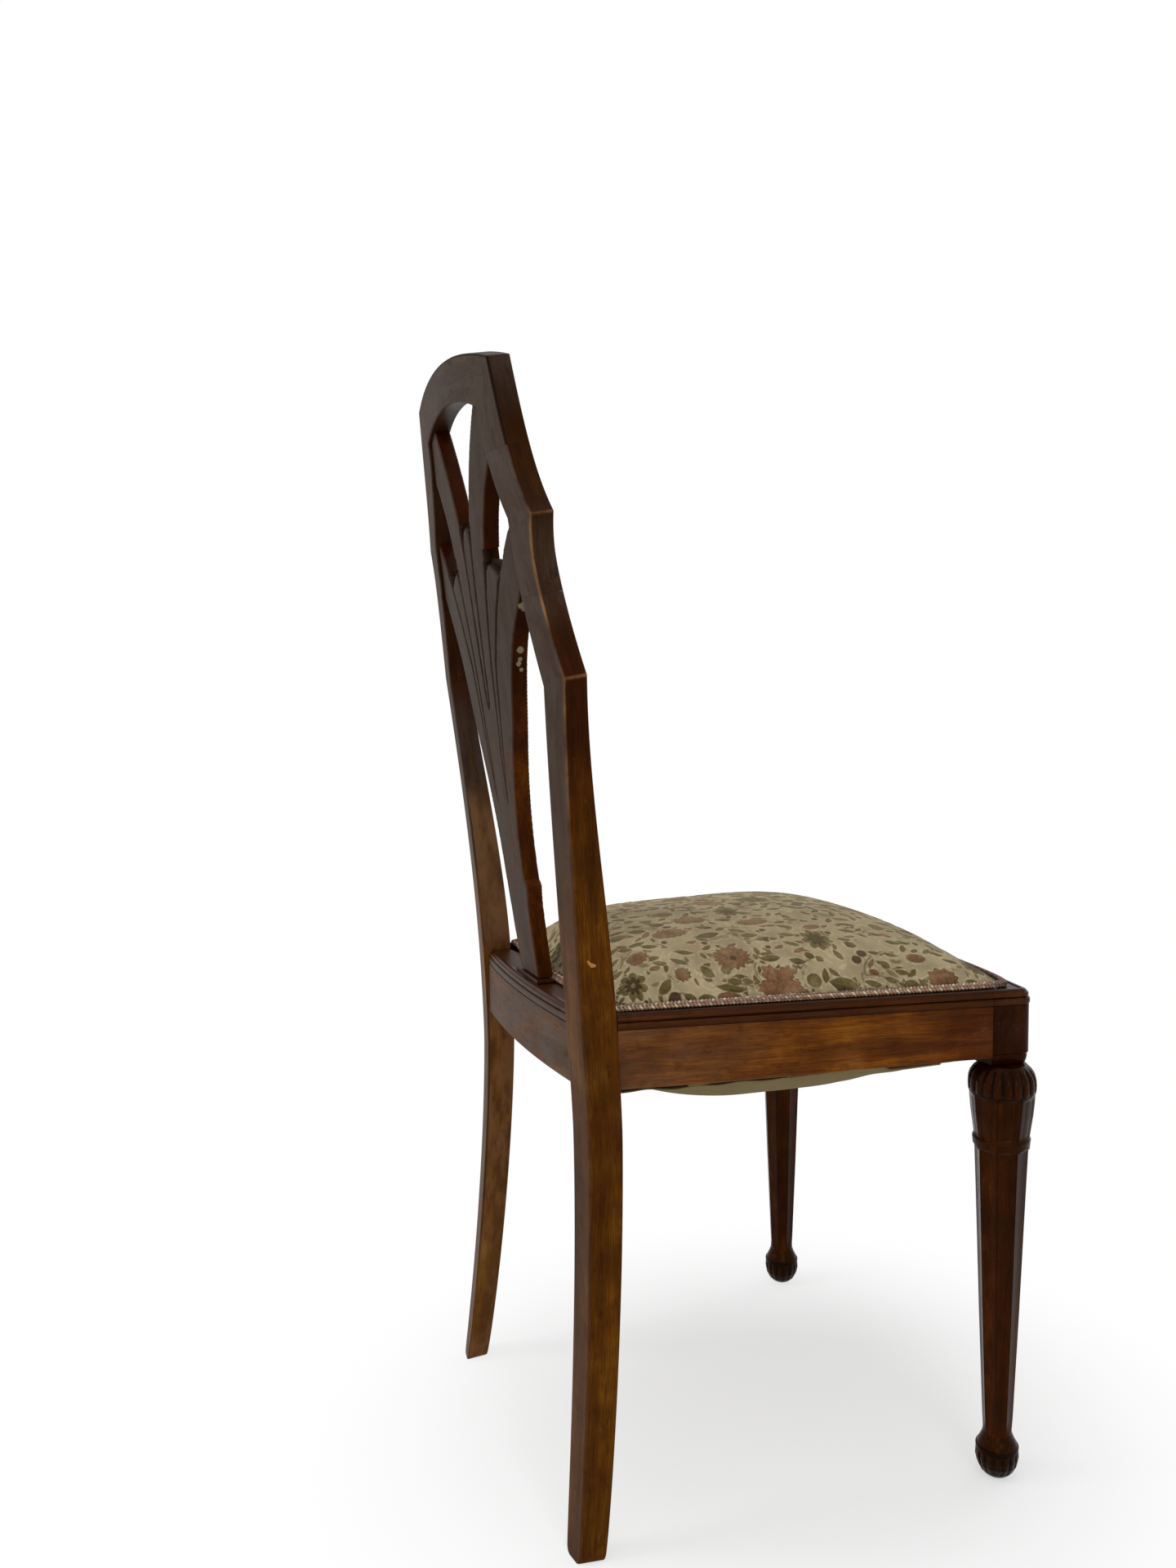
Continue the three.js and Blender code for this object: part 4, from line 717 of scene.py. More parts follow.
def moulding_profile():
    """Two reeds one over the other, the upper one set back, with a quirk between them and a rounded top."""
    base = MOULD_BOTTOM + FIT
    turn = np.linspace(0, math.pi / 2, 7)
    profile = np.concatenate([
        [[-MOULD_WIDTH, base], [-1.2, base]],
        reed_arc(-0.9, 0.9, base + 0.1, base + 5.6),
        [[-1.9, base + 5.8]],
        reed_arc(-2.4, 1.2, base + 6.0, base + 10.2),
        np.column_stack([-6.2 + 3.4 * np.cos(turn), base + 10.4 + 2.3 * np.sin(turn)]),
        [[-MOULD_WIDTH, base + MOULD_HEIGHT]],
    ])
    wear = np.zeros(len(profile))
    wear[[*range(6, 10), *range(18, 22)]] = 1
    return profile, wear


def side_rail_part():
    """The side rail, whose lower edge rises a little towards the front."""
    line = side_line(SIDE_LINE_Y, BLOCK_REAR_Y + FIT, 40)
    points, faces, marks = carried(line, *rail_profile(SIDE_THICK + FACE_INSET))
    # A dull veil that grows towards the rear: partly a dulled finish, partly painted sheen.
    marks["rear"] = 0.08 + 0.3 * smooth_step(-20, 120, points[:, 1])
    points[:, 2] += 3.4 * np.clip((60 - points[:, 1]) / 210, 0, 1) * (points[:, 2] < RAIL_BOTTOM + 4)
    return points, faces, marks


def front_rail_part():
    """The rail's section carried along the front, from one block to the other."""
    return carried(front_line(BLOCK_INNER_X - FIT, 41), *rail_profile(FRONT_THICK + FACE_INSET))


def rear_rail_part():
    """The rear rail, thinner towards its ends, its outer face dulled, partly as painted sheen."""
    line = rear_line(float(inner_half(RAIL_TOP)) - 1.2, 41)
    thick = REAR_THICK - (REAR_BOW + REAR_FRONT_BOW) * (line[0][:, 0] / REAR_BOW_HALF) ** 2
    profile, wear = rail_profile(REAR_THICK)
    profile[:, 0] += FACE_INSET
    points, faces, marks = carried(line, profile, wear, thick / REAR_THICK)
    marks["rear"] = marks["grain"][:, 0] > -3 * MM
    return points, faces, marks


def side_moulding_part():
    """The moulding's section carried along the side, from the post to the block."""
    return carried(side_line(SIDE_LINE_Y, BLOCK_REAR_Y, 40), *moulding_profile())


def front_moulding_part():
    """One length from the rear of one block round both corners to the other."""
    side, corner = side_line(BLOCK_REAR_Y - FIT, CORNER_Y + 1, 8), corner_line(9)
    line = [np.concatenate([a, b, front, (b * [-1, 1])[::-1], (a * [-1, 1])[::-1]])
            for a, b, front in zip(side, corner, front_line(CORNER_X - 1.5, 61))]
    return carried(line, *moulding_profile())


def rear_moulding_part():
    """The moulding's section carried along the rear rail, its outer face dulled, partly as painted sheen."""
    line = rear_line(float(inner_half(MOULD_BOTTOM)) - FIT, 41)
    points, faces, marks = carried(line, *moulding_profile())
    marks["rear"] = marks["grain"][:, 0] > -1.5 * MM
    return points, faces, marks


# Front legs

FACETS, REEDS, LOBES, CUP_TOP = 8, 16, 20, 338
TAPER_Z, CUP_Z, REEDS_Z = (42, 50, 293, 297), (304, 307, 339, 343), (4, 7, 23, 25.5)
SCALLOP_Z, SCALLOP_RISE, HEM_Z, HEM_RISE, CUP_RADIUS = 343.4, 2.4, 295.6, 1.3, 27.2
COLLAR_ENDS, BUD_ENDS = (302.5, 305), (362.5, 366.5)
# Shares of the radius that a facet, flute, reed and lobe are hollowed by, and that the collar stands out by
FACET_DEPTH, FLUTE_DEPTH, REED_DEPTH, LOBE_DEPTH, COLLAR_STAND = 0.016, 0.012, 0.06, 0.055, 0.052
# The turned part's profile: height and radius
LEG_PROFILE = np.array([
    (0, 4.5), (0.8, 7.4), (2.5, 10.3), (6, 13.9), (12, 17), (18, 18.3), (24, 18), (26, 17.7),
    (26.6, 18.2), (28.4, 18), (29, 16.9), (32, 15.7), (36, 13.7), (40, 12.3), (42, 12.1), (56, 12.9),
    (150, 16.8), (259, 20.8), (296, 22.3), (305, 23.1), (313, 24.2), (325, 25.9), (336, 26.9),
    (343, 27.3), (346, 27.8), (350, 28), (355, 27.6), (359, 26.3), (363, 23.7), (365.6, 21),
    (367.3, 19),
])


def leg_radius(height, angle):
    """The turned radius at a height and an angle, and how much each place is darkened: painted shade in its
    hollows, and darker facet edges and foot.

    The plain profile is cut eight-sided on the taper and the cup, by apothem / cos(angle from the middle of
    the face) with slightly hollow faces; reeded by |sin| on the ball; and lobed by |sin| on the bud, whose
    lobes end in a scalloped step over the cup. The collar stands out over a hem that rises on every face.
    """
    z, turn = np.meshgrid(height, angle, indexing="ij")
    plain = np.interp(z, LEG_PROFILE[:, 0], LEG_PROFILE[:, 1])
    face_turn = 2 * math.pi / FACETS
    across = np.mod(turn, face_turn) - face_turn / 2
    reed_wave, flute_wave = np.abs(np.sin(REEDS / 2 * turn)), np.abs(np.cos(REEDS / 2 * turn))
    lobe_wave = np.abs(np.sin(LOBES / 2 * turn))
    taper, cup, reeds = (plateau(*heights, z) for heights in (TAPER_Z, CUP_Z, REEDS_Z))
    faceted = math.cos(face_turn / 2) / np.cos(across) - FACET_DEPTH * np.cos(4 * across)
    flute = FLUTE_DEPTH * (flute_wave**0.6 - 1) * cup
    reed = REED_DEPTH * (reed_wave**0.7 - 1)
    scallop = SCALLOP_Z + SCALLOP_RISE * (1 - lobe_wave)
    lobes = smooth_step(scallop - 0.4, scallop + 0.6, z)
    fade = 1 - smooth_step(*BUD_ENDS, z)
    lobe = LOBE_DEPTH * fade * (lobe_wave**0.75 - 1) + 0.012
    hem = HEM_Z - HEM_RISE * np.cos(FACETS * turn)
    ring = COLLAR_STAND * plateau(hem - 0.5, hem + 0.4, *COLLAR_ENDS, z)
    under = np.where(z > CUP_TOP, CUP_RADIUS / np.maximum(plain, CUP_RADIUS), 1)
    shape = 1 + (taper + 0.6 * cup) * (faceted - 1) + flute + reeds * reed + ring
    # hollow paints shade in the lobes, reeds, flutes, the ring groove and under the bud's overhang, and also
    # darkens the facet edges and the foot.
    hollow = lobes * fade * (1 - lobe_wave) ** 1.5 + reeds * (1 - reed_wave) ** 1.5
    hollow += 0.3 * cup * (1 - flute_wave) ** 2
    hollow += 0.6 * (taper + cup) * smooth_step(0.34, 0.385, np.abs(across))
    hollow += 0.8 * (z > 24) * (z < 29) + 0.35 * (z < 40)
    hollow += 0.6 * (z > CUP_TOP) * (1 - lobes) * smooth_step(CUP_TOP, 342, z)
    return plain * blend(shape * under, 1 + lobe, lobes), np.clip(hollow, 0, 1)


def turned_part(columns=200):
    """The turned and carved part of the left front leg: leg_radius round an upright axis."""
    height = steps_through(0, (3, 5), (30, 54), (42, 24), (60, 6), (292, 34), (308, 40), (340, 18),
                           (367.3, 66))
    angle = np.linspace(0, 2 * math.pi, columns, endpoint=False)
    radius, groove = leg_radius(height, angle)
    grain = np.stack(np.broadcast_arrays(radius * np.cos(angle), radius * np.sin(angle), height[:, None]), -1)
    points, faces, (grain, groove) = capped(grain + [LEG_X, LEG_Y, 0], (grain, groove))
    plain = np.zeros(len(points))
    return points, faces, {"grain": grain * MM, "edge": plain, "groove": groove, "rear": plain}


def block_outline(inset):
    """The front block in plan, its faces set in by inset from those of the rails."""
    outer = FACE_INSET + inset
    front_x = np.array([BLOCK_INNER_X + 16, BLOCK_INNER_X])
    side_y = np.array([BLOCK_REAR_Y, BLOCK_REAR_Y - 14])
    return np.concatenate([
        np.column_stack([side_x(side_y, outer), side_y]),
        corner_line(11, outer)[0],
        np.column_stack([front_x, front_y(front_x, outer)]),
        [[BLOCK_INNER_X, BLOCK_REAR_Y]],
    ])


def block_part():
    """The square block over the turned part: its outline stacked up, with a round lower arris."""
    rabbet = MOULD_WIDTH + FIT
    levels = [(0.9 + 4.3 * (1 - math.sin(t)), BLOCK_BOTTOM + 10 * (1 - math.cos(t)))
              for t in np.linspace(0, math.pi / 2, 6)]
    levels += [(0, BLOCK_BOTTOM + 11), (0, 390), (0, MOULD_BOTTOM)]
    levels += [(rabbet, MOULD_BOTTOM), (rabbet, RAIL_TOP)]
    loops = stacked([(block_outline(inset), z) for inset, z in levels])
    edge = np.zeros(loops.shape[:2])
    edge[3:6] = 0.5
    edge[6:8, 5:10] = 0.4
    points, faces, (edge,) = capped(loops, (edge,))
    plain = np.zeros(len(points))
    return points, faces, {"grain": points * MM, "edge": edge, "rear": plain, "groove": plain}


# Seat


def cover_rear_y(x):
    """The cover's rear edge, a parabola as far as COVER_REAR_HALF."""
    return COVER_REAR_Y - COVER_REAR_BOW * np.minimum(1, (x / COVER_REAR_HALF) ** 2)


def seat_plan(across, along, inset=0.0):
    """The seat's plan from shares across and along, -1 to 1, the front being -1."""
    share = (along + 1) / 2
    draw = 5 * np.abs(across) ** 12 * np.clip(-along, 0, None) ** 12
    inset = COVER_INSET + inset
    first_x = across * side_x(blend(FRONT_Y + COVER_INSET, COVER_REAR_Y, share), inset)
    y = blend(front_y(first_x, inset) + draw, cover_rear_y(first_x) - inset + COVER_INSET, share)
    return across * (side_x(y, inset) - draw), y


def seat_surface(across, along, rise, lift):
    """The cover: a rim that rounds up by lift, and a crown of one less a power of each share.

    The power along is higher behind the middle, where the crown is steeper.
    """
    x, y = seat_plan(across, along)
    margin = np.maximum(np.abs(across), np.abs(along))
    edge = lift * np.sqrt(np.clip(1 - ((margin - 0.955) / 0.045).clip(0) ** 2, 0, 1))
    power = np.where(along < 0, 3.1, 6.0)
    crown = rise * (1 - np.abs(across) ** 2.6) * (1 - np.abs(along) ** power)
    return np.stack([x, y, SEAT_BASE + edge + crown], -1)


def seat_part(rise, lift, steps=72):
    """A closed form: the crowned top on a square grid of shares, over a flat underside."""
    share = np.sin(math.pi / 2 * np.linspace(-1, 1, steps + 1))
    along, across = np.meshgrid(share, share, indexing="ij")
    top = seat_surface(across, along, rise, lift).reshape(-1, 3)
    under = top * [1, 1, 0] + [0, 0, SEAT_BASE + FIT]
    faces = grid_faces(steps + 1, steps + 1)
    k, wide, count = np.arange(steps), steps + 1, len(top)
    rim = np.concatenate([k, k * wide + steps, (steps * wide + steps) - k, (steps - k) * wide])
    after = np.roll(rim, -1)
    walls = np.column_stack([rim, rim + count, after + count, after])
    return np.concatenate([top, under]), np.concatenate([faces, faces[:, ::-1] + count, walls])


def cloth_coordinates(points, rise, lift, cells=160):
    """How far along the cover's own threads each point lies, from the middle of its front edge.

    The lengths across and along are summed over a table of the crowned surface and read off between its
    places, so the pattern keeps its size where the cover stands steep.
    """
    share = np.linspace(-1, 1, cells + 1)
    along, across = np.meshgrid(share, share, indexing="ij")
    table = seat_surface(across, along, rise, lift)

    def summed(axis):
        steps = np.linalg.norm(np.diff(table, axis=axis), axis=-1)
        return np.insert(np.cumsum(steps, axis=axis), 0, 0, axis=axis)

    u, v = summed(1), summed(0)
    middle = cells // 2
    u -= u[:, middle, None]
    v = np.broadcast_to(v[:, middle, None], v.shape)
    x, y = points[:, 0], points[:, 1]
    front = front_y(x, COVER_INSET)
    row = np.clip((y - front) / (cover_rear_y(x) - front), 0, 1) * cells
    column = (np.clip(x / side_x(y, COVER_INSET), -1, 1) + 1) * middle
    i, j = (np.minimum(place.astype(int), cells - 1) for place in (row, column))

    def read(values):
        low, high = (blend(values[k, j], values[k, j + 1], column - j) for k in (i, i + 1))
        return blend(low, high, row - i)

    return np.column_stack([read(u), read(v), np.zeros(len(points))])


# Drawing of the velvet, in millimetres along the cover's threads from the middle of its front edge. One block
# is 128 across and 376 along, and each block further in starts half a block on.

DRAWING_SIZE = np.array([128, 376])
YARNS = ("pink", "olive", "dark", "stem")
# Each leaf from tip to tip, across and along, with half its width
LEAVES = (
    (-104, 300, -112, 284, 3), (-112, 308, -124, 296, 3), (-110, 324, -117, 313, 3.2),
    (-143, 332, -134, 316, 4.5), (-129, 287, -141, 278, 4.2), (-146, 268, -150, 255, 3.4),
    (-148, 255, -152, 245, 3), (-149, 280, -158, 253, 3.4), (-149, 311, -156, 300, 3.2),
    (-154, 298, -161, 283, 4.2), (-158, 302, -165, 296, 3.4), (-131, 231, -134, 211, 3.8),
    (-138, 205, -143, 190, 3.4), (-132, 187, -141, 181, 3.8), (-139, 179, -146, 174, 3),
    (-172, 146, -178, 131, 3), (-182, 131, -190, 116, 4), (-143, 129, -147, 117, 2.2),
    (-147, 115, -153, 101, 2.6), (-156, 122, -164, 116, 4), (-167, 113, -171, 100, 2.8),
    (-172, 126, -178, 114, 3), (-180, 109, -184, 95, 4.5), (-186, 49, -190, 33, 4),
    (-128, 103, -133, 88, 3.4), (-128, 91, -132, 76, 3), (-89, 270, -87, 246, 4.5),
    (-166, 178, -176, 152, 7.5), (-126, 144, -135, 135, 4.5), (-180, 150, -188, 134, 5.5),
    (-84, 322, -92, 308, 3), (-78, 330, -80, 314, 3), (-70, 262, -76, 246, 3.2),
    (-82, 236, -90, 222, 3), (-96, 232, -98, 214, 3.4), (-106, 222, -104, 206, 3),
    (-84, 190, -92, 176, 3), (-72, 176, -78, 162, 3), (-100, 196, -106, 182, 3.2),
    (-104, 138, -110, 122, 3), (-92, 132, -96, 114, 3.4), (-78, 128, -84, 112, 3),
    (-112, 112, -118, 98, 3), (-146, 66, -150, 50, 3), (-158, 58, -162, 42, 3.2),
    (-136, 58, -142, 44, 3), (-110, 74, -112, 56, 3.2), (-96, 66, -102, 52, 3), (-82, 84, -86, 68, 3),
    (-120, 44, -126, 30, 3.2), (-150, 28, -156, 14, 3), (-104, 30, -108, 14, 3.4),
    (-74, 44, -80, 28, 3), (-88, 18, -92, 2, 3), (-172, 20, -178, 6, 3.4), (-134, 10, -138, -6, 3),
    (-116, 372, -124, 362, 3), (-96, 364, -102, 350, 3.2), (-82, 360, -86, 344, 3),
    (-160, 344, -168, 332, 3.4),
)
# Each flower: its form, centre, half length and half width, turn in degrees, and which yarn it is in
FLOWERS = (
    ("daisy", -124, 353, 17, 15, 10, "olive"), ("daisy", -116, 167, 17, 13, 0, "olive"),
    ("shell", -98, 338, 19, 13, -84, "pink"), ("shell", -131, 309, 13, 10, -100, "pink"),
    ("carnation", -124, 254, 18, 15, 90, "pink"), ("rose", -157, 222, 21, 19, 96, "pink"),
    ("egg", -162, 274, 19, 9.5, -110, "pink"), ("shell", -186, 70, 17, 25, 0, "pink"),
    ("carnation", -75, 288, 18, 9, 90, "pink"), ("carnation", -72, 206, 16, 8, 90, "pink"),
    ("egg", -94, 162, 11, 6, -90, "pink"), ("carnation", -156, 85, 11, 7, 90, "pink"),
    ("shell", -190, 172, 14, 12, 0, "pink"), ("rose", -124, 24, 15, 14, 40, "pink"),
    ("daisy", -166, 26, 13, 12, 15, "olive"), ("carnation", -88, 44, 13, 11, 90, "pink"),
    ("egg", -138, 265, 6.5, 6, 0, "olive"), ("egg", -161, 188, 9, 9, 90, "olive"),
    ("shell", -98, 98, 13, 12, -90, "pink"), ("egg", -117, 327, 7, 4, -100, "pink"),
    ("egg", -164, 134, 6.5, 4, -110, "pink"), ("egg", -190, 98, 6, 3, -95, "dark"),
)
# Round spots: centre, radius and yarn
SPOTS = (
    (-150, 319, 6, "dark"), (-157, 325, 5.6, "dark"), (-152, 340, 3.2, "dark"), (-149, 352, 3, "dark"),
    (-140, 378, 4.5, "dark"), (-146, 364, 4, "dark"), (-144, 347, 2.4, "dark"), (-144, 135, 4.6, "dark"),
    (-150, 143, 4.6, "dark"), (-157, 222, 6.5, "olive"), (-126, 254, 3, "dark"), (-116, 167, 6, "dark"),
    (-161, 188, 2, "stem"), (-118, 216, 2.6, "dark"), (-108, 212, 2.6, "dark"), (-90, 206, 3, "dark"),
    (-124, 24, 5, "olive"), (-166, 26, 4.5, "dark"), (-108, 150, 3, "dark"), (-78, 146, 3, "dark"),
    (-72, 96, 3, "dark"), (-130, 70, 3, "dark"), (-88, 300, 2.6, "dark"), (-100, 268, 2.6, "dark"),
)
# Stems as arcs from end to end, with how far their middle stands off the chord
STEMS = (
    (-100, 306, -136, 322, 5), (-104, 300, -112, 308, 2), (-138, 292, -152, 282, 3),
    (-152, 296, -150, 268, 4), (-160, 296, -146, 320, 4), (-152, 284, -156, 246, -5),
    (-132, 232, -150, 238, 4), (-144, 196, -150, 166, -6), (-146, 190, -166, 200, 4),
    (-163, 144, -188, 146, 2), (-150, 128, -166, 142, 3), (-166, 142, -176, 120, -3),
    (-176, 118, -190, 106, 3), (-152, 118, -146, 96, 4), (-128, 148, -118, 126, 4),
    (-130, 110, -124, 84, -4), (-92, 262, -84, 232, 5), (-98, 236, -110, 210, 4),
    (-90, 186, -104, 174, 4), (-100, 142, -88, 116, 4), (-112, 116, -100, 74, -6),
    (-150, 62, -136, 36, 4), (-90, 74, -104, 48, 4), (-96, 20, -112, 6, 4), (-86, 336, -92, 306, -4),
    (-100, 360, -84, 340, 4), (-150, 346, -136, 366, 4), (-76, 238, -72, 180, 6),
)
FORMS = {
    "daisy": lambda turn: 0.6 + 0.4 * np.abs(np.cos(4 * turn)) ** 0.6,
    "carnation": lambda turn: 0.9 + 0.1 * np.arcsin(np.sin(17 * turn)) / 1.57,
    "rose": lambda turn: ((0.6 + 0.4 * np.abs(np.cos(2.5 * turn)))
                          * (1 + 0.07 * np.sin(20 * turn + np.sin(3 * turn)))),
    "shell": lambda turn: (0.56 + 0.44 * np.cos(turn)) * (0.9 + 0.1 * np.arcsin(np.sin(15 * turn)) / 1.57),
    "egg": lambda turn: 0.72 + 0.28 * np.cos(turn),
}


def drawn_fields(cloth):
    """How far inside each yarn's drawing every place is, in millimetres, and the veins and sides of leaves.

    A leaf is half_width (1 - t^2) - |s| over its own length t from -1 to 1; a flower is its form's
    radius at an angle less the distance from its centre.
    """
    fields = {yarn: np.full(len(cloth), -9.0) for yarn in YARNS}
    vein, side = np.zeros(len(cloth)), np.zeros(len(cloth))
    length_of_block = DRAWING_SIZE[1]

    def local(row, centre, reach):
        """The places within reach of a centre in a row of blocks, and how far off it they lie."""
        off = cloth - centre - DRAWING_SIZE * [row, row % 2 / 2]
        off[:, 1] = (off[:, 1] + length_of_block / 2) % length_of_block - length_of_block / 2
        some = np.flatnonzero((np.abs(off) < reach).all(axis=1))
        return some, off[some]

    def spanned(row, ends, reach):
        """The places near a line between two ends: shares along it, millimetres across it, and its length."""
        start, end = np.array(ends[:2]), np.array(ends[2:])
        run, length = end - start, math.dist(start, end)
        some, off = local(row, (start + end) / 2, reach)
        return some, off @ run / length**2 * 2, (off[:, 0] * run[1] - off[:, 1] * run[0]) / length, length

    def keep(yarn, some, gap):
        fields[yarn][some] = np.maximum(fields[yarn][some], gap)

    for row in range(3):
        for *ends, half in LEAVES:
            some, t, s, _ = spanned(row, ends, 22)
            keep("olive", some, half * (1 - t**2) - np.abs(s + 0.8 * t**2))
            side[some] = np.where(fields["olive"][some] > -1, smooth_step(-0.5, 0.5, s), side[some])
            vein[some] = np.maximum(vein[some], np.clip(1 - np.abs(s) / 0.7, 0, 1) * (np.abs(t) < 0.8) * 0.6)
        for form, *centre, long_half, wide_half, degrees, yarn in FLOWERS:
            some, off = local(row, centre, 30)
            turn = math.radians(degrees)
            x = (off[:, 0] * math.cos(turn) + off[:, 1] * math.sin(turn)) / long_half
            y = (off[:, 1] * math.cos(turn) - off[:, 0] * math.sin(turn)) / wide_half
            angle, far = np.arctan2(y, x), np.hypot(x, y)
            gap = (FORMS[form](angle) - far) * min(long_half, wide_half)
            keep(yarn, some, gap)
            petals = {"daisy": 4, "rose": 2.5}.get(form, 9)
            line = np.clip(1 - np.abs(np.sin(petals * angle + 1.57 * (petals < 5))) * far * 4, 0, 1)
            if petals == 9:
                rows = np.clip(1 - np.abs(np.sin(9 * far + 0.9 * np.abs(np.sin(8.5 * angle)))) * 3, 0, 1)
                line = np.maximum(line, 0.8 * rows)
            vein[some] = np.where(gap > 0, np.maximum(vein[some], line), vein[some])
            if form == "daisy":
                heart = (0.34 + 0.3 * np.abs(np.cos(4 * angle)) ** 0.8 - far) * wide_half
                keep("dark", some, np.where(far < 0.2, -1.0, heart))
        for *centre, radius, yarn in SPOTS:
            some, off = local(row, centre, 12)
            keep(yarn, some, radius - np.hypot(off[:, 0], off[:, 1]))
        for *ends, bow in STEMS:
            some, t, s, length = spanned(row, ends, 34)
            keep("stem", some, np.minimum(1.0 - np.abs(s - bow * (1 - t**2)), (1 - np.abs(t)) * length / 2))
    scatter_leaves(cloth, fields)
    return fields, vein, side


def scatter_leaves(cloth, fields, pitch=12.5):
    """Small leaves, one to each square of a grid, turned and moved by a seeded table.

    Each is cut back to where it clears the drawing.
    """
    table = np.random.default_rng(11).random((32, 32, 5))
    clear = -1.2 - np.maximum.reduce(list(fields.values()))
    square = np.floor(cloth / pitch).astype(int)
    for step in np.ndindex(3, 3):
        cell = square + np.array(step) - 1
        drawn = table[cell[:, 0] % 32, cell[:, 1] % 32]
        off = cloth - (cell + 0.2 + 0.6 * drawn[:, :2]) * pitch
        turn = drawn[:, 2] * math.pi
        length, half = 4.6 + 3.4 * drawn[:, 3], 1.8 + 1.3 * drawn[:, 3]
        t = (off[:, 0] * np.cos(turn) + off[:, 1] * np.sin(turn)) / length
        s = off[:, 1] * np.cos(turn) - off[:, 0] * np.sin(turn)
        gap = np.minimum(half * (1 - t**2) - np.abs(s + 0.6 * t**2), clear)
        for yarn, low, high in (("olive", 0.0, 0.55), ("pink", 0.55, 0.75), ("stem", 0.75, 0.9)):
            here = (drawn[:, 4] >= low) & (drawn[:, 4] < high)
            fields[yarn] = np.where(here, np.maximum(fields[yarn], gap), fields[yarn])


def swell(piece, cap, pressure=4.0, frames=20):
    """Swells a closed form like an air-filled cloth, then holds every point within cap of where it began."""
    scene = bpy.context.scene
    start = vertex_places(piece)
    fabric = piece.modifiers.new("swell", "CLOTH")
    settings = {"quality": 6, "mass": 0.3, "tension_stiffness": 12, "compression_stiffness": 12,
                "bending_stiffness": 1.2, "use_pressure": True, "uniform_pressure_force": pressure}
    for key, value in settings.items():
        setattr(fabric.settings, key, value)
    fabric.settings.effector_weights.gravity = 0
    fabric.point_cache.frame_start, fabric.point_cache.frame_end = 1, frames
    for number in range(1, frames + 1):
        scene.frame_set(number)
    grown = vertex_places(piece.evaluated_get(bpy.context.evaluated_depsgraph_get()))
    piece.modifiers.remove(fabric)
    scene.frame_set(1)
    move = grown - start
    length = np.linalg.norm(move, axis=1, keepdims=True)
    return start, start + move * np.minimum(1, cap / np.maximum(length, 1e-9))


def vertex_places(piece):
    """The places of a piece's vertices in millimetres."""
    places = np.empty(len(piece.data.vertices) * 3)
    piece.data.vertices.foreach_get("co", places)
    return places.reshape(-1, 3) / MM


def set_places(piece, places):
    piece.data.vertices.foreach_set("co", (places * MM).ravel())
    piece.data.update()


def applied(piece):
    """Takes the result of a piece's modifiers as its mesh."""
    mesh = bpy.data.meshes.new_from_object(piece.evaluated_get(bpy.context.evaluated_depsgraph_get()))
    piece.modifiers.clear()
    old, piece.data = piece.data, mesh
    bpy.data.meshes.remove(old)


def ways_along(path):
    """The way along a closed path at each of its points."""
    return unit(np.roll(path, -1, axis=0) - np.roll(path, 1, axis=0))


def unit(ways):
    """The ways at a length of one."""
    return ways / np.linalg.norm(ways, axis=1, keepdims=True)


def rim_path(pitch, offset, reach=6):
    """The line just outside the cover's edge, at even steps, with the way out from it.

    The line is smoothed over reach places to each side.
    """
    share = np.sin(math.pi / 2 * np.linspace(-1, 1, 160))[:-1]
    one = np.ones(len(share))
    sides = [(share, -one), (one, share), (-share, one), (-one, -share)]
    plan = np.concatenate([np.column_stack(seat_plan(a, b, -offset)) for a, b in sides])
    closed = np.vstack([plan, plan[:1]])
    run = run_along(closed)
    at = np.linspace(0, run[-1], int(run[-1] / pitch), endpoint=False)
    line = np.column_stack([np.interp(at, run, values) for values in closed.T])
    kernel = np.hanning(2 * reach + 3)[1:-1]
    wider = np.vstack([line[-reach:], line, line[:reach]])
    line = np.column_stack([np.convolve(values, kernel / kernel.sum(), "valid") for values in wider.T])
    ahead = ways_along(line)
    return line, np.column_stack([ahead[:, 1], -ahead[:, 0]]), at, run[-1]


def braid_part(strands=3, repeat=9.5, pitch=0.75, radius=1.3, sides=6):
    """Plaited cords that lean on the cover's edge.

    Cord k swings 2.5 sin(w + 2 pi k / 3) sideways and 0.8 sin(2w + 4 pi k / 3) up and down. Each is a tube
    of rings about its path.
    """
    line, out, at, whole = rim_path(pitch, 3.5)
    turns = round(whole / repeat)
    angle = np.linspace(0, 2 * math.pi, sides, endpoint=False)[None, :, None]
    parts = []
    for strand in range(strands):
        phase = 2 * math.pi * (turns * at / whole + strand / strands)
        swing = 2.5 * np.sin(phase)
        height = SEAT_BASE + 2.9 + 0.8 * np.sin(2 * phase) - 0.3 * swing
        path = np.column_stack([line + out * swing[:, None], height])
        ahead = ways_along(path)
        level = unit(np.cross(ahead, [0, 0, 1.0]))
        ring = level[:, None] * np.cos(angle) + np.cross(level, ahead)[:, None] * np.sin(angle)
        points = (path[:, None] + ring * radius).reshape(-1, 3)
        faces = grid_faces(len(path), sides, round_rows=True, round_columns=True)
        round_share = np.tile(np.arange(sides) / sides, len(path))
        twist = np.column_stack([round_share, np.repeat(at, sides) / 3.2, np.full(len(points), strand)])
        parts.append((points, faces, {"twist": twist}))
    return joined(parts)


def belly_level(x, y):
    """The height of the crosswise webbing's upper face, and its flat-bottomed sag between the rails."""
    rear, front = REAR_RAIL_Y - REAR_THICK, FRONT_Y + FRONT_THICK
    middle = (rear + front) / 2
    across = np.minimum(1, np.abs(x) / side_x(y, SIDE_THICK))
    along = np.minimum(1, np.abs(y - middle) / ((rear - front) / 2))
    drop = SAG * ((1 - across**3.2) * (1 - along**3.2)) ** 1.3
    drop *= 1 - 0.27 * smooth_step(0.35, 0.75, across) * smooth_step(0.1, 0.6, along) * (y < middle)
    return RAIL_BOTTOM - FIT - drop, drop


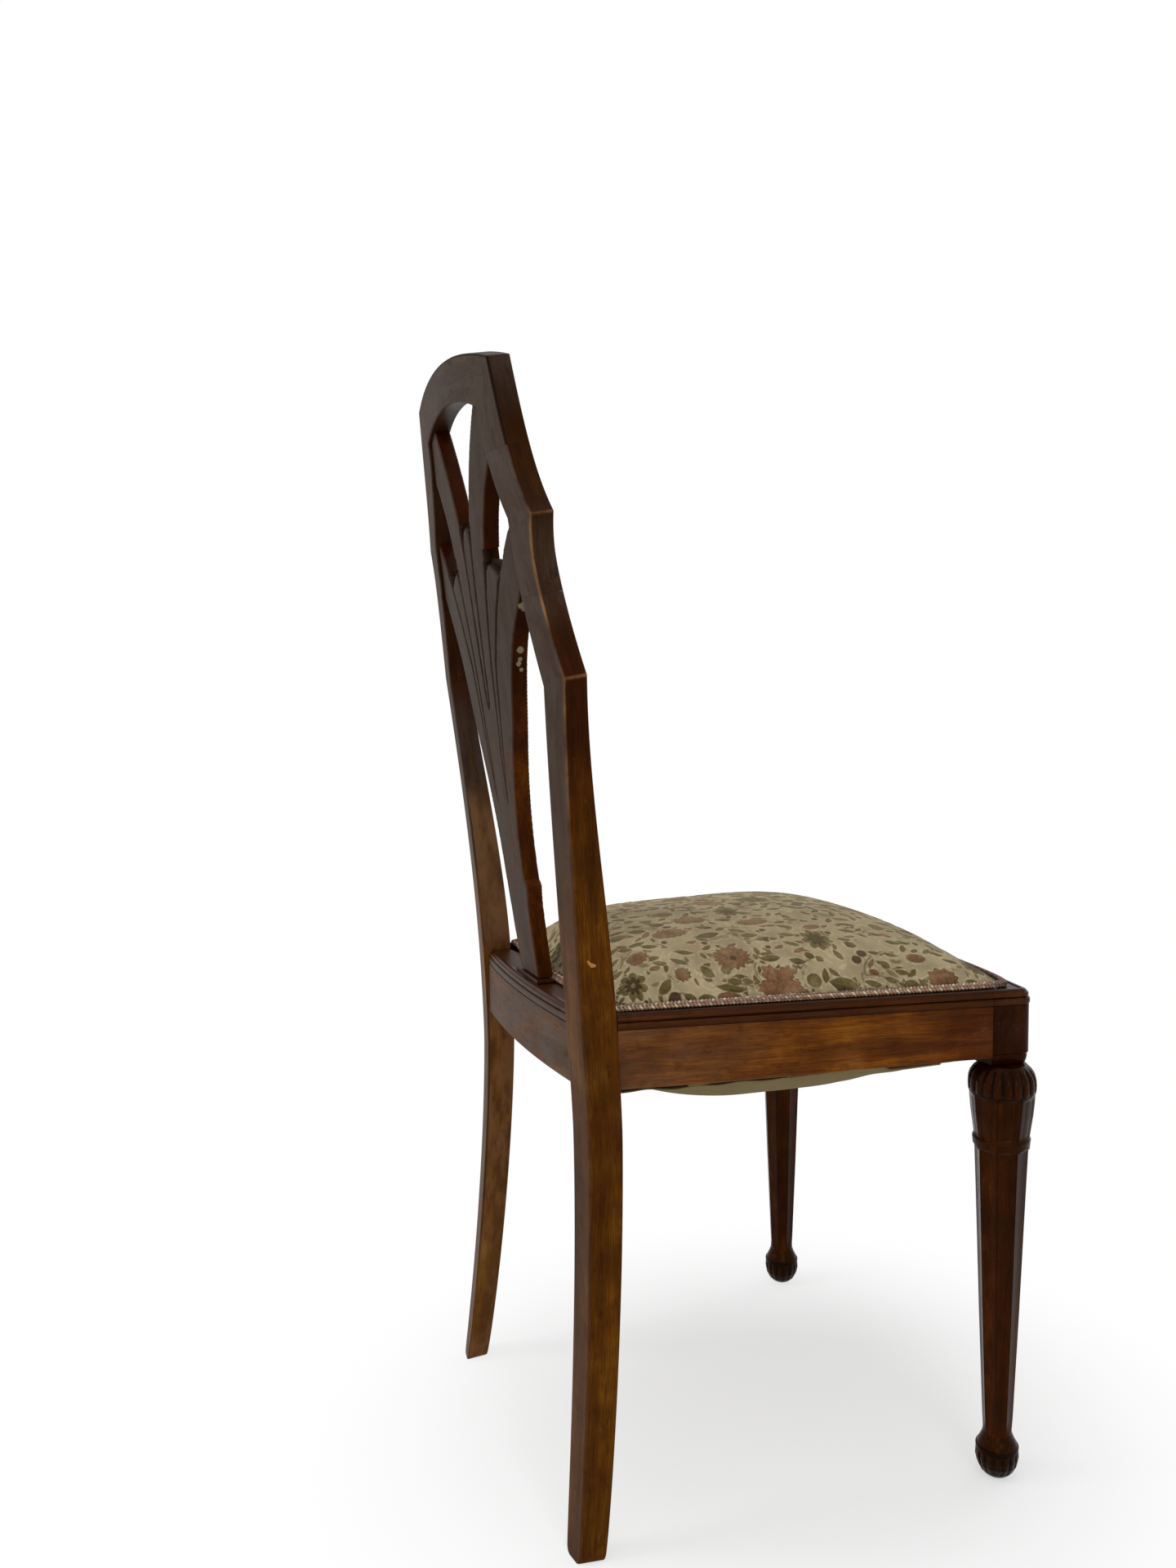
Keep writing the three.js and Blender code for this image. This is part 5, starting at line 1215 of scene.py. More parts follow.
def bottom_cloth_part(count=121):
    """The dust cloth: a grid between the rails' outer lines, at the webbing's level less its thickness.

    Its edge wanders by up to 2.5 and it puckers along the rails by a sum of sines that fades inwards.
    """
    s, t = np.meshgrid(np.linspace(-1, 1, count), np.linspace(0, 1, count), indexing="xy")
    first_x = s * side_x(blend(FRONT_Y, REAR_RAIL_Y - REAR_THICK, t), CLOTH_INSET)
    rear = rear_rail_y(0) - CLOTH_INSET - 29 * np.minimum(1, np.abs(first_x / 116) ** 6)
    y = blend(front_y(first_x, CLOTH_INSET), rear, t)
    x = s * side_x(y, CLOTH_INSET + 13 * smooth_step(30, -90, y))
    across, along = np.abs(s), np.abs(2 * t - 1)
    edge = np.maximum(across, along)
    ragged = smooth_step(0.93, 1.0, edge)
    wander = 1.4 * np.sin(x / 7.3 + 2 * np.sin(y / 19)) + 1.1 * np.sin(y / 5.9 + 2 * np.sin(x / 23)) - 2.0
    y = y + ragged * wander * np.sign(2 * t - 1) * (along >= across)
    x = x + ragged * wander * np.sign(s) * (across > along)
    level, drop = belly_level(x, y)
    pucker = 0.55 * np.sin(x / 6.1 + np.sin(y / 31)) + 0.55 * np.sin(y / 6.7 + np.sin(x / 27))
    folds = 0.5 * np.sin((x + 0.4 * y) / 17 + np.sin(y / 43)) * smooth_step(1.0, 0.7, edge)
    waves = np.clip(smooth_step(0.45, 0.9, edge) * pucker + folds, -1.6, 1.4)
    z = level - slack(drop) - 4.0 - waves + 1.6 * smooth_step(20, -120, y) * ragged
    points = np.stack([x, y, z], -1).reshape(-1, 3)
    faces = grid_faces(count, count)
    middle = points[faces].mean(axis=1)
    inner_x = min(LEG_X - 28, BLOCK_INNER_X) - 0.6
    rear_side = max(LEG_Y + 28, BLOCK_REAR_Y) + 0.6
    used, faces = compacted(faces[(np.abs(middle[:, 0]) <= inner_x) | (middle[:, 1] >= rear_side)])
    points = points[used]
    return points, faces, {"cloth": points * [1, 1, 0] * MM}


def slack(drop):
    """How far the lengthwise straps hang under the crosswise ones, growing with the sag."""
    return 2.5 * np.minimum(1, drop / 5)


def strap_part(lengthwise, at):
    """A webbing strap, 48 wide, that follows the sag; the lengthwise straps pass under the others."""
    width = at + np.linspace(-STRAP_HALF, STRAP_HALF, 9)
    across, share = np.meshgrid(width, np.linspace(0, 1, 81), indexing="ij")
    if lengthwise:
        x, y = across, blend(front_y(across, CLOTH_INSET), rear_rail_y(across) - CLOTH_INSET, share)
    else:
        x, y = side_x(at, CLOTH_INSET) * (2 * share - 1), across
    level, drop = belly_level(x, y)
    z = level - 0.8 - lengthwise * slack(drop)
    places = (x, y, z), (x, y, z) if lengthwise else (y, x, z)
    points, threads = (np.stack(axes, -1).reshape(-1, 3) for axes in places)
    return points, grid_faces(*across.shape), {"cloth": threads * MM}


def hessian_part(count=33):
    """The sacking under the stuffing, flat on the rails inside the cover's edge."""
    share = np.sin(math.pi / 2 * np.linspace(-0.89, 0.89, count))
    along, across = np.meshgrid(share, share, indexing="ij")
    points = seat_surface(across, along, 0, 0).reshape(-1, 3) + [0, 0, 0.2]
    return points, grid_faces(count, count), {"cloth": points * MM}


# Finishes

# Dried glue on the right edge of the splat: places and radii in metres
GLUE_SPOTS = (
    (-0.1075, 0.195, 0.7545, 0.0048), (-0.106, 0.1935, 0.749, 0.0032), (-0.083, 0.190, 0.7195, 0.0036),
    (-0.0775, 0.190, 0.709, 0.0026), (-0.079, 0.1895, 0.7125, 0.0022), (-0.0745, 0.1875, 0.7045, 0.0018),
)
# A pale scratch on the outer face of the right post
SCRATCH_SPOTS = (
    (-0.1531, 0.1565, 0.4735, 0.0016), (-0.1531, 0.1583, 0.4739, 0.0018), (-0.1531, 0.1602, 0.4752, 0.0015),
    (-0.1531, 0.1614, 0.4768, 0.0011),
)


def maths(operation, turned=False):
    """A method that adds a Math node, with the wire as its last value where turned."""
    def add(self, *others):
        values = [*others, self] if turned else [self, *others]
        return self.finish.node("ShaderNodeMath", {"operation": operation}, values)

    return add


class Wire:
    """One value in a material. Sums and products of wires add Math nodes."""

    __add__, __sub__, __mul__, __truediv__ = map(maths, ("ADD", "SUBTRACT", "MULTIPLY", "DIVIDE"))
    __abs__, sine, least, most = map(maths, ("ABSOLUTE", "SINE", "MINIMUM", "MAXIMUM"))
    __rsub__ = maths("SUBTRACT", turned=True)

    def __init__(self, finish, socket):
        self.finish, self.socket = finish, socket

    def step(self, low, high, to_low=0.0, to_high=1.0):
        """Goes smoothly from to_low at low to to_high at high."""
        settings = {"interpolation_type": "SMOOTHSTEP"}
        return self.finish.node("ShaderNodeMapRange", settings, [self, low, high, to_low, to_high])


class Finish:
    """Builds one material, or the world, out of nodes.

    A colour is a hexadecimal code, linear values or a wire.
    """

    def __init__(self, holder):
        holder.use_nodes = True
        self.holder, self.tree = holder, holder.node_tree
        self.tree.nodes.clear()

    def node(self, kind, settings=None, values=(), out=0):
        """Adds a node: its settings first, then its sockets by name, or in order where values is a list."""
        node = self.tree.nodes.new(kind)
        for key, value in (settings or {}).items():
            setattr(node, key, value)
        for key, value in values.items() if isinstance(values, dict) else enumerate(values):
            if isinstance(value, Wire):
                self.tree.links.new(value.socket, node.inputs[key])
            else:
                node.inputs[key].default_value = value
        return Wire(self, node.outputs[out]) if node.outputs else None

    def mix(self, share, first, second, blend_type="MIX"):
        """A colour between two colours, or with blend_type the first one changed by the second."""
        settings = {"data_type": "RGBA", "blend_type": blend_type}
        return self.node("ShaderNodeMix", settings, {0: share, 6: wide(first), 7: wide(second)}, out=2)

    def ramp(self, share, *colours):
        """A colour read off evenly spaced stops."""
        reading = self.node("ShaderNodeValToRGB", {}, [share])
        stops = reading.socket.node.color_ramp.elements
        for _ in colours[2:]:
            stops.new(1.0)
        for place, (stop, colour) in enumerate(zip(stops, colours)):
            stop.position, stop.color = place / (len(colours) - 1), wide(colour)
        return reading

    def tint(self, colour, share, other):
        """A colour multiplied towards another by a share."""
        return self.mix(share, colour, other, "MULTIPLY")

    def attribute(self, name, out="Vector"):
        return self.node("ShaderNodeAttribute", {"attribute_name": name}, out=out)

    def object_place(self):
        return self.node("ShaderNodeTexCoord", out="Object")

    def vector(self, operation, *values, out=0):
        return self.node("ShaderNodeVectorMath", {"operation": operation}, values, out=out)

    def stretched(self, place, shares):
        return self.vector("MULTIPLY", place, shares)

    def split(self, vector):
        node = self.node("ShaderNodeSeparateXYZ", {}, [vector]).socket.node
        return [Wire(self, output) for output in node.outputs]

    def noise(self, place, scale, detail=3.0, rough=0.5, distortion=0.0):
        return self.node("ShaderNodeTexNoise", {}, {
            "Vector": place, "Scale": scale, "Detail": detail, "Roughness": rough, "Distortion": distortion})

    def bump(self, height, distance, strength):
        sockets = {"Strength": strength, "Distance": distance, "Height": height}
        return self.node("ShaderNodeBump", {}, sockets)

    def seen_plainly(self):
        """1 for the rays that see the background itself: those of the camera, gloss and transmission."""
        rays = self.node("ShaderNodeLightPath").socket.node.outputs
        kinds = ("Camera", "Glossy", "Transmission")
        return functools.reduce(Wire.most, [Wire(self, rays[f"Is {kind} Ray"]) for kind in kinds])

    def ended(self, kind, shader):
        """Ends the tree with its output node."""
        self.node(kind, {}, {"Surface": shader})
        return self.holder

    def surface(self, **sockets):
        """Ends the material with the main shader; names are its sockets with _ for a space."""
        named = {key.replace("_", " "): value for key, value in sockets.items()}
        named = {key: wide(v) if key.endswith(("Color", "Tint")) else v for key, v in named.items()}
        return self.ended("ShaderNodeOutputMaterial", self.node("ShaderNodeBsdfPrincipled", {}, named))


def new_finish(name):
    return Finish(bpy.data.materials.new(name))


def shade(code):
    """A colour written as six hexadecimal figures, as the linear values that the nodes take."""
    values = np.array([int(code[k : k + 2], 16) for k in (0, 2, 4)]) / 255
    return tuple(np.where(values <= 0.04045, values / 12.92, ((values + 0.055) / 1.055) ** 2.4).tolist())


def wide(colour):
    """A colour as the four values that a socket takes, or a wire as it is."""
    if isinstance(colour, Wire):
        return colour
    return (*(shade(colour) if isinstance(colour, str) else colour), 1.0)


def scaled(colour, *shares):
    """A colour times one share, or times one for each of its values."""
    return tuple(value * share for value, share in zip(colour, shares * 3))


def wood(name, tones, rough=0.42, grain=None, worn=0.8, gloss=0.15, marks=None, deepened=None):
    """Old varnished wood: long fibres, wide bands, short dark pores, dull rear faces that are partly painted
    sheen, worn arrises, and painted shade in grooves.

    tones are the dark, middle, light and dulled colours. marks holds a colour, its strength and its spots.
    deepened holds (axis, start, end, colour): the wood is multiplied towards the colour from start to end.
    """
    f = new_finish(name)
    dark, middle, light, grey = tones
    place = f.attribute("grain") if grain is None else f.stretched(f.object_place(), grain)
    fibres = f.noise(f.stretched(place, (1, 1, 0.035)), 1150, 4, 0.65)
    bands = f.noise(f.stretched(place, (1, 1, 0.09)), 70, 3, 0.55, 0.6)
    cloudy = f.noise(place, 22, 3, 0.6)
    smears = f.noise(f.stretched(place, (1, 1, 0.4)), 55, 4, 0.6)
    pores = f.noise(f.stretched(place, (1, 1, 0.05)), 2300, 2, 0.5).step(0.60, 0.70)
    tone = (bands * 0.45 + fibres * 0.42 + cloudy * 0.35 - 0.1).step(0.28, 0.78)
    colour = f.mix(pores * 0.55, f.ramp(tone, dark, middle, light), scaled(dark, 0.5))
    if deepened:
        axis, start, end, deep = deepened
        colour = f.tint(colour, f.split(f.object_place())[axis].step(start, end), deep)
    # The rear attribute sets a grey veil: partly a dulled finish, partly painted sheen and painted light.
    rear = f.attribute("rear", "Fac")
    veil = rear * smears.step(0.4, 0.58, 0.6, 1.0) + cloudy.step(0.55, 0.8) * 0.12
    bloom_and_sheen = f.mix(cloudy.step(0.35, 0.65), scaled(grey, 1.1, 0.98, 0.86), grey)
    bloom_and_sheen = f.mix(tone * 0.6 + smears * 0.4, scaled(grey, 0.5), bloom_and_sheen)
    colour = f.mix(veil.least(0.97), colour, f.mix(pores * 0.4, bloom_and_sheen, dark))
    stained = f.noise(f.stretched(place, (1, 1, 0.5)), 95, 4, 0.7).step(0.55, 0.66)
    colour = f.mix(stained * 0.4, colour, dark)
    groove, edge = f.attribute("groove", "Fac"), f.attribute("edge", "Fac")
    # groove darkens the crest's seam line, and paints shade in the carving, the turned hollows and on the
    # rails' top faces.
    colour = f.mix((groove * 1.2).least(0.92), colour, scaled(dark, 0.35))
    # rubbed lightens the worn arrises, and paints light on the back's lower inner faces.
    patchy = smears.step(0.36, 0.62, 0.25, 1.0)
    rubbed = (edge.step(0.62, 1.0) * patchy * worn * 0.85).least(1.0)
    colour = f.mix(rubbed, colour, "94683f")
    moved = f.vector("ADD", place, (0.3, 0.1, 0.7))
    scratches = f.noise(f.stretched(moved, (1, 0.6, 0.25)), 420, 1, 0.5, 2.0)
    scratch = scratches.step(0.72, 0.76) * cloudy.step(0.5, 0.62)
    colour = f.mix(scratch * 0.3, colour, "7a563a")
    if marks:
        mark, strength, spots = marks
        colour = f.mix(dabs(f, spots) * strength, colour, mark)
    relief = fibres * 0.5 - pores * 0.9 - scratch * 0.6 + smears * 0.5
    dull = smears * 0.2 + (rough - 0.1) + rear * 0.16 + pores * 0.15
    return f.surface(Base_Color=colour, Roughness=dull.least(1.0), Normal=f.bump(relief, 0.00012, 0.5),
                     Specular_IOR_Level=gloss, Specular_Tint="ffd2a0", IOR=1.3)


def dabs(f, spots):
    """A mask of ragged round spots at places on the chair, each with its radius, in metres."""
    place = f.object_place()
    ragged = (f.noise(place, 210, 3, 0.6) - 0.5) * 1.3
    masks = []
    for *centre, radius in spots:
        far = f.vector("LENGTH", f.vector("SUBTRACT", place, centre), out=1)
        masks.append((far / radius + ragged).step(1.0, 0.75))
    return functools.reduce(Wire.most, masks)


def plain_wood(name, light, dark):
    """Bare unvarnished wood with its grain upright."""
    f = new_finish(name)
    place = f.stretched(f.object_place(), (1, 1, 0.05))
    rings = f.noise(place, 160, 3, 0.6, 0.4)
    fibres = f.noise(place, 1500, 3, 0.6)
    colour = f.mix((rings * 0.7 + fibres * 0.4).step(0.35, 0.8), light, dark)
    return f.surface(Base_Color=colour, Roughness=0.75, Normal=f.bump(fibres, 0.0002, 0.5))


def metal(name, colour, rust):
    """Dull metal with patches of rust."""
    f = new_finish(name)
    place = f.object_place()
    spots = f.noise(place, 260, 4, 0.65).step(0.48, 0.66)
    scuffs = f.noise(place, 900, 2, 0.5)
    relief = f.bump(scuffs + spots * 0.6, 0.0001, 0.6)
    return f.surface(Base_Color=f.mix(spots, colour, rust), Metallic=1.0 - spots * 0.7,
                     Roughness=spots * 0.4 + scuffs * 0.15 + 0.25, Normal=relief)


def woven(name, light, dark, threads, dirt):
    """A plain weave on the piece's own cloth places: threads per metre both ways, over and under in turn."""
    f = new_finish(name)
    place = f.attribute("cloth")
    uneven = f.noise(place, 120, 3, 0.6)
    wobble = (uneven - 0.5) * 0.8
    warp, weft = (((axis * threads + wobble) * math.pi).sine() for axis in f.split(place)[:2])
    over = (warp * weft).step(-0.3, 0.3)
    height = (1 - abs(warp)) * over + (1 - abs(weft)) * (1 - over)
    stain = f.noise(place, 16, 4, 0.6).step(0.45, 0.72)
    colour = f.mix(stain * 0.4, f.mix(height * 0.6 + uneven * 0.3, dark, light), dirt)
    return f.surface(Base_Color=colour, Roughness=0.92, Normal=f.bump(height, 0.0004, 0.7),
                     Specular_IOR_Level=0.1, Sheen_Weight=0.05, Sheen_Roughness=0.5)


def cord_finish(name, light, dark, pale):
    """Twisted yarn: stripes that wind round the cord, from its round share and the length along it."""
    f = new_finish(name)
    turn, along, strand = f.split(f.attribute("twist"))
    wind = ((turn + along) * 2 * math.pi).sine()
    fuzz = f.noise(f.object_place(), 1400, 3, 0.7)
    tone = (wind * 0.3 + 0.3 + fuzz * 0.4).step(0.1, 0.95)
    colour = f.mix(tone, dark, f.mix(strand.step(1.4, 1.6), light, pale))
    # Painted shade: the braid is darker along the seat's front edge.
    colour = f.tint(colour, f.split(f.object_place())[1].step(-0.17, -0.205), "8a6a5c")
    return f.surface(Base_Color=colour, Roughness=0.88, Normal=f.bump(wind * 0.6 + fuzz * 0.6, 0.0004, 0.8),
                     Sheen_Weight=0.2, Sheen_Roughness=0.5)


def velvet(name):
    """Cut velvet: flowers and leaves in raised pile on a cream ground, rubbed, with painted sheen that washes
    the pattern out towards the crown.
    """
    f = new_finish(name)
    place = f.attribute("cloth")
    pink, olive, dark = f.split(f.attribute("drawing"))
    stem, vein, side = f.split(f.attribute("detail"))
    wobble = (f.noise(place, 330, 4, 0.65) - 0.5) * 2.6
    cloudy = f.noise(place, 26, 3, 0.6)
    fibre = f.noise(f.stretched(place, (1, 0.35, 1)), 1900, 2, 0.6)
    rubbed = f.noise(place, 75, 4, 0.65).step(0.42, 0.7)
    mottled = f.noise(place, 260, 3, 0.6).step(0.4, 0.62)

    def mask(field, soft=0.35):
        return (field + wobble).step(-soft, soft)

    ground = f.mix(cloudy.step(0.35, 0.65), "ab9b79", "928365")
    ground = f.mix(fibre.step(0.3, 0.75) * 0.35, ground, "85765a")
    drawn = pink.most(olive).most(dark)
    halo = drawn.step(-3.4, -1.6) * (1 - drawn.step(-0.8, 0.0))
    colour = f.mix(halo * mottled.step(0.2, 0.9) * 0.5, ground, "bfaf8d")
    colour = f.mix(mask(stem) * 0.8, colour, f.mix(cloudy.step(0.45, 0.55), "b5a580", "665a3c"))
    olive_tone = f.mix((side * 0.6 + mottled * 0.4).least(1.0), "584a24", "342b15")
    olive_tone = f.mix(vein * 0.45, olive_tone, "85784e")
    colour = f.mix(mask(olive) * (0.95 - rubbed * 0.3), colour, olive_tone)
    pink_tone = f.mix(mottled * 0.6 + cloudy.step(0.38, 0.62) * 0.4, "83593a", "593a25")
    pink_tone = f.mix(vein * 0.6, pink_tone, "523626")
    pink_tone = f.mix(pink.step(1.6, 0.3, 0.0, 0.45), pink_tone, "523626")
    colour = f.mix(mask(pink) * (0.95 - rubbed * 0.25), colour, pink_tone)
    colour = f.mix(mask(dark) * 0.9, colour, f.mix(cloudy.step(0.45, 0.6), "33270f", "3f231a"))
    # Painted sheen: towards the crown the pattern washes out into the ground.
    colour = f.mix(f.split(f.object_place())[2].step(0.447, 0.474, 0.0, 0.14), colour, ground)
    colour = f.tint(colour, fibre.step(0.2, 0.5, 0.3, 0.0), "8d8878")
    relief = drawn.step(-0.8, 0.8) * 0.9 + fibre * 0.35 - vein * 0.3
    return f.surface(Base_Color=colour, Roughness=0.92, Normal=f.bump(relief, 0.0006, 0.7),
                     Specular_IOR_Level=0.1, Sheen_Weight=0.35, Sheen_Roughness=0.4, Sheen_Tint="d8d0b4")


# Stage


def studio_white(name, colour):
    """A pale floor that holds the chair's shadow, and goes over to the background's white further off."""
    f = new_finish(name)
    place = f.object_place()
    tooth = f.noise(place, 40, 3, 0.5)
    diffuse = f.node("ShaderNodeBsdfDiffuse", {}, {"Color": f.mix(tooth, colour, scaled(colour, 0.985))})
    glow = f.node("ShaderNodeEmission", {}, {"Color": wide("ffffff"), "Strength": 1.0})
    away = f.vector("ADD", f.stretched(place, (1, 1, 0)), (0.05, 0.05, 0.0))
    far = f.vector("LENGTH", away, out=1).step(0.1, 0.46, 0.42, 1.0)
    shader = f.node("ShaderNodeMixShader", {}, [f.seen_plainly() * far, diffuse, glow])
    return f.ended("ShaderNodeOutputMaterial", shader)


def studio_world(strength):
    """A white background that lights the chair by the given strength and is seen at a strength of 1."""
    f = Finish(bpy.data.worlds.new("studio"))
    span = f.node("ShaderNodeMapRange", {}, {"Value": f.seen_plainly(), "To Min": strength})
    background = f.node("ShaderNodeBackground", {}, {"Color": wide("ffffff"), "Strength": span})
    return f.ended("ShaderNodeOutputWorld", background)


def put_in_scene(name, data, matrix):
    """A camera or lamp at the place and turn of a matrix."""
    holder = bpy.data.objects.new(name, data)
    holder.matrix_world = matrix
    bpy.context.scene.collection.objects.link(holder)
    return holder


def add_lamp(name, place, aim, size, power):
    """A rectangular lamp of the given size in metres and power in watts, turned to its aim."""
    lamp = bpy.data.lights.new(name, "AREA")
    lamp.shape, lamp.size, lamp.size_y, lamp.energy = "RECTANGLE", *size, power
    turn = (Vector(aim) - Vector(place)).to_track_quat("-Z", "Y").to_matrix().to_4x4()
    put_in_scene(name, lamp, Matrix.Translation(place) @ turn)


def camera_matrix(place, yaw, pitch, roll):
    """Looks along yaw and pitch from +X, rolled about the line of sight, all in radians."""
    ahead = Vector((math.cos(yaw) * math.cos(pitch), math.sin(yaw) * math.cos(pitch), math.sin(pitch)))
    level = ahead.cross(Vector((0, 0, 1))).normalized()
    rise = level.cross(ahead)
    right = math.cos(roll) * level + math.sin(roll) * rise
    up = math.cos(roll) * rise - math.sin(roll) * level
    turn = Matrix((right, up, -ahead)).transposed().to_4x4()
    return Matrix.Translation(place) @ turn


def floor_part(reach=30.0, sides=64):
    """A level disc in rings that widen outwards, reach in metres."""
    radius = np.concatenate([[0.01], np.geomspace(0.3, reach, 14)]) / MM
    angle = np.linspace(0, 2 * math.pi, sides, endpoint=False)
    x, y = radius[:, None] * np.cos(angle), radius[:, None] * np.sin(angle)
    points = np.vstack([np.stack([x, y, 0 * x], -1).reshape(-1, 3), [[0, 0, 0]]])
    middle = fan(np.arange(sides), len(points) - 1, backwards=True)
    return points, np.vstack([grid_faces(len(radius), sides, round_columns=True), middle])


# Settings that a user would change


def number_setting(label, description, default, subtype, unit="NONE"):
    return bpy.props.FloatProperty(
        name=label, description=description, default=default, subtype=subtype, unit=unit)


def angle_setting(label, description, degrees):
    return number_setting(label, description, math.radians(degrees), "ANGLE", "ROTATION")


def length_setting(label, description, default):
    return number_setting(label, description, default, "DISTANCE", "LENGTH")


def three_settings(label, description, default, subtype="COLOR", unit="NONE"):
    return bpy.props.FloatVectorProperty(
        name=label, description=description, default=default, subtype=subtype, unit=unit)


class ChairStageSettings(bpy.types.PropertyGroup):
    """Camera and light."""

    camera_place: three_settings("Camera place", "Where the camera stands", (-1.09904, 0.502, 0.70417),
                                 "TRANSLATION", "LENGTH")
    camera_yaw: angle_setting("Yaw", "Way the camera looks, from +X towards +Y", -19.8998)
    camera_pitch: angle_setting("Pitch", "How far the camera looks up", -5.0142)
    camera_roll: angle_setting("Roll", "How far the camera leans", -0.8058)
    lens: number_setting("Lens", "Focal length on a 36 mm sensor", 30.117, "DISTANCE_CAMERA")
    floor_colour: three_settings("Floor", "Colour of the floor and backdrop", (0.92, 0.92, 0.92))
    lamp_power: number_setting("Lamp power", "Share of the lamps' usual power", 1.0, "FACTOR")


class ChairWoodSettings(bpy.types.PropertyGroup):
    """Colours of the varnished wood."""

    dark: three_settings("Dark", "Darkest tone of the wood", shade("2a1203"))
    middle: three_settings("Middle", "Usual tone of the wood", shade("4d2a05"))
    light: three_settings("Light", "Lightest tone of the wood", shade("73480a"))
    # The dulled tone also paints sheen on the rear faces, and light and sheen on the back's sides.
    dull: three_settings("Dull", "Tone of the dulled rear faces", shade("4a4039"))


class ChairSeatSettings(bpy.types.PropertyGroup):
    """Sizes of the stuffed seat."""

    rise: length_setting("Crown", "Height of the stuffing over the rails", 0.0435)
    lift: length_setting("Edge", "Height of the cover's round edge", 0.005)
    swell_cap: length_setting("Swell", "How far the stuffing may swell the cover", 0.004)


# Operators


def wood_tones(context, reddish=0.0, deeper=1.0, duller=1.0):
    """The four tones with a share of red; deeper scales the wood's own three and duller the dulled faces'."""
    tones = context.scene.chair_wood
    shift = np.array([1 + 0.25 * reddish, 1 - 0.22 * reddish, 1 - 0.1 * reddish]) * deeper
    own = [np.array(tone) * shift for tone in (tones.dark, tones.middle, tones.light)]
    return [tuple(tone.tolist()) for tone in (*own, np.array(tones.dull) * duller)]


class CHAIR_OT_stage(bpy.types.Operator):
    """Make the floor, the lamps, the background and the camera"""

    bl_idname = "chair.stage"
    bl_label = "Stage"

    def execute(self, context):
        scene, settings = context.scene, context.scene.chair_stage
        scene.view_settings.view_transform = "Standard"
        floor = put_mesh("floor", *floor_part(), closed=False, sharp=0)
        floor.data.materials.append(studio_white("floor_white", tuple(settings.floor_colour)))
        scene.world = studio_world(0.42)
        for name, place, aim, size, power in (
            ("top", (-0.3, 0.7, 2.7), (0, 0, 0.4), (2.6, 2.6), 20),
            ("rear", (0.5, 2.7, 1.7), (0, 0, 0.6), (1.1, 1.0), 26),
            ("right", (-2.6, 0.2, 1.5), (0, 0, 0.5), (1.0, 1.1), 15),
            ("front", (0.9, -2.7, 1.7), (0, 0, 0.5), (1.6, 1.4), 11),
            ("low", (-2.2, 1.1, 0.45), (0.1, 0, 0.2), (0.7, 0.7), 5),
        ):
            add_lamp(f"lamp_{name}", place, aim, size, power * settings.lamp_power)
        view = bpy.data.cameras.new("photo_camera")
        view.sensor_width, view.lens = 36.0, settings.lens
        view.clip_start, view.clip_end = 0.05, 50
        turns = settings.camera_yaw, settings.camera_pitch, settings.camera_roll
        scene.camera = put_in_scene("photo_camera", view, camera_matrix(settings.camera_place, *turns))
        return {"FINISHED"}


class CHAIR_OT_back(bpy.types.Operator):
    """Make the posts, the shield's shoulders and the crest rail"""

    bl_idname = "chair.back"
    bl_label = "Back frame"

    def execute(self, context):
        # deepened paints shade over the upper post, towards the shoulder.
        post = wood("post_wood", wood_tones(context), deepened=(2, 0.47, 0.68, "a88a80"),
                    marks=("b98250", 0.75, SCRATCH_SPOTS))
        # The crest and shoulders are darkened as painted shade, by their low deeper shares.
        crest = wood("crest_wood", wood_tones(context, 0.5, 0.28))
        shoulder = wood("shoulder_wood", wood_tones(context, 0.4, 0.3))
        add_pair("post", post_part(), "back_post", post)
        add_pair("shoulder", shoulder_part(), "shield_shoulder", shoulder)
        add_piece("crest", crest_part(), "crest_rail", crest)
        return {"FINISHED"}


class CHAIR_OT_splat(bpy.types.Operator):
    """Make the carved and pierced fan splat and its shoe"""

    bl_idname = "chair.splat"
    bl_label = "Splat"

    def execute(self, context):
        fan_wood = wood("splat_wood", wood_tones(context, 0.6, 0.8, 0.82), marks=("a39a7c", 0.55, GLUE_SPOTS),
                        deepened=(2, 0.56, 0.74, "a88c80"))
        # The shoe is darkened as painted shade, by its low deeper share.
        shoe_wood = wood("shoe_wood", wood_tones(context, 0.3, 0.3), grain=(1, 1, 1))
        add_piece("fan_splat", splat_part(), "splat", fan_wood)
        add_piece("low_shoe", shoe_part(), "splat_shoe", shoe_wood)
        return {"FINISHED"}


class CHAIR_OT_seat_frame(bpy.types.Operator):
    """Make the seat rails and their mouldings"""

    bl_idname = "chair.seat_frame"
    bl_label = "Seat frame"

    def execute(self, context):
        rail = wood("rail_wood", wood_tones(context, 0.25, 1.6, 1.5), deepened=(1, -0.06, -0.17, "b49484"))
        bead = wood("moulding_wood", wood_tones(context, 1.1, 0.36, 1.1), worn=0.05, gloss=0.28, rough=0.34)
        add_pair("side_rail", side_rail_part(), "side_seat_rail", rail)
        add_piece("front_rail", front_rail_part(), "front_seat_rail", rail)
        add_piece("rear_rail", rear_rail_part(), "rear_seat_rail", rail)
        add_pair("side_moulding", side_moulding_part(), "side_rail_moulding", bead)
        add_piece("front_moulding", front_moulding_part(), "front_rail_moulding", bead)
        add_piece("rear_moulding", rear_moulding_part(), "rear_rail_moulding", bead)
        return {"FINISHED"}


class CHAIR_OT_front_legs(bpy.types.Operator):
    """Make the turned and carved front legs under their blocks"""

    bl_idname = "chair.front_legs"
    bl_label = "Front legs"

    def execute(self, context):
        finish = wood("leg_wood", wood_tones(context, 0.9, 0.34), rough=0.24, worn=0.12,
                      deepened=(2, 0.335, 0.375, "b09080"))
        add_pair("carved_leg", joined([turned_part(), block_part()]), "front_leg", finish)
        return {"FINISHED"}


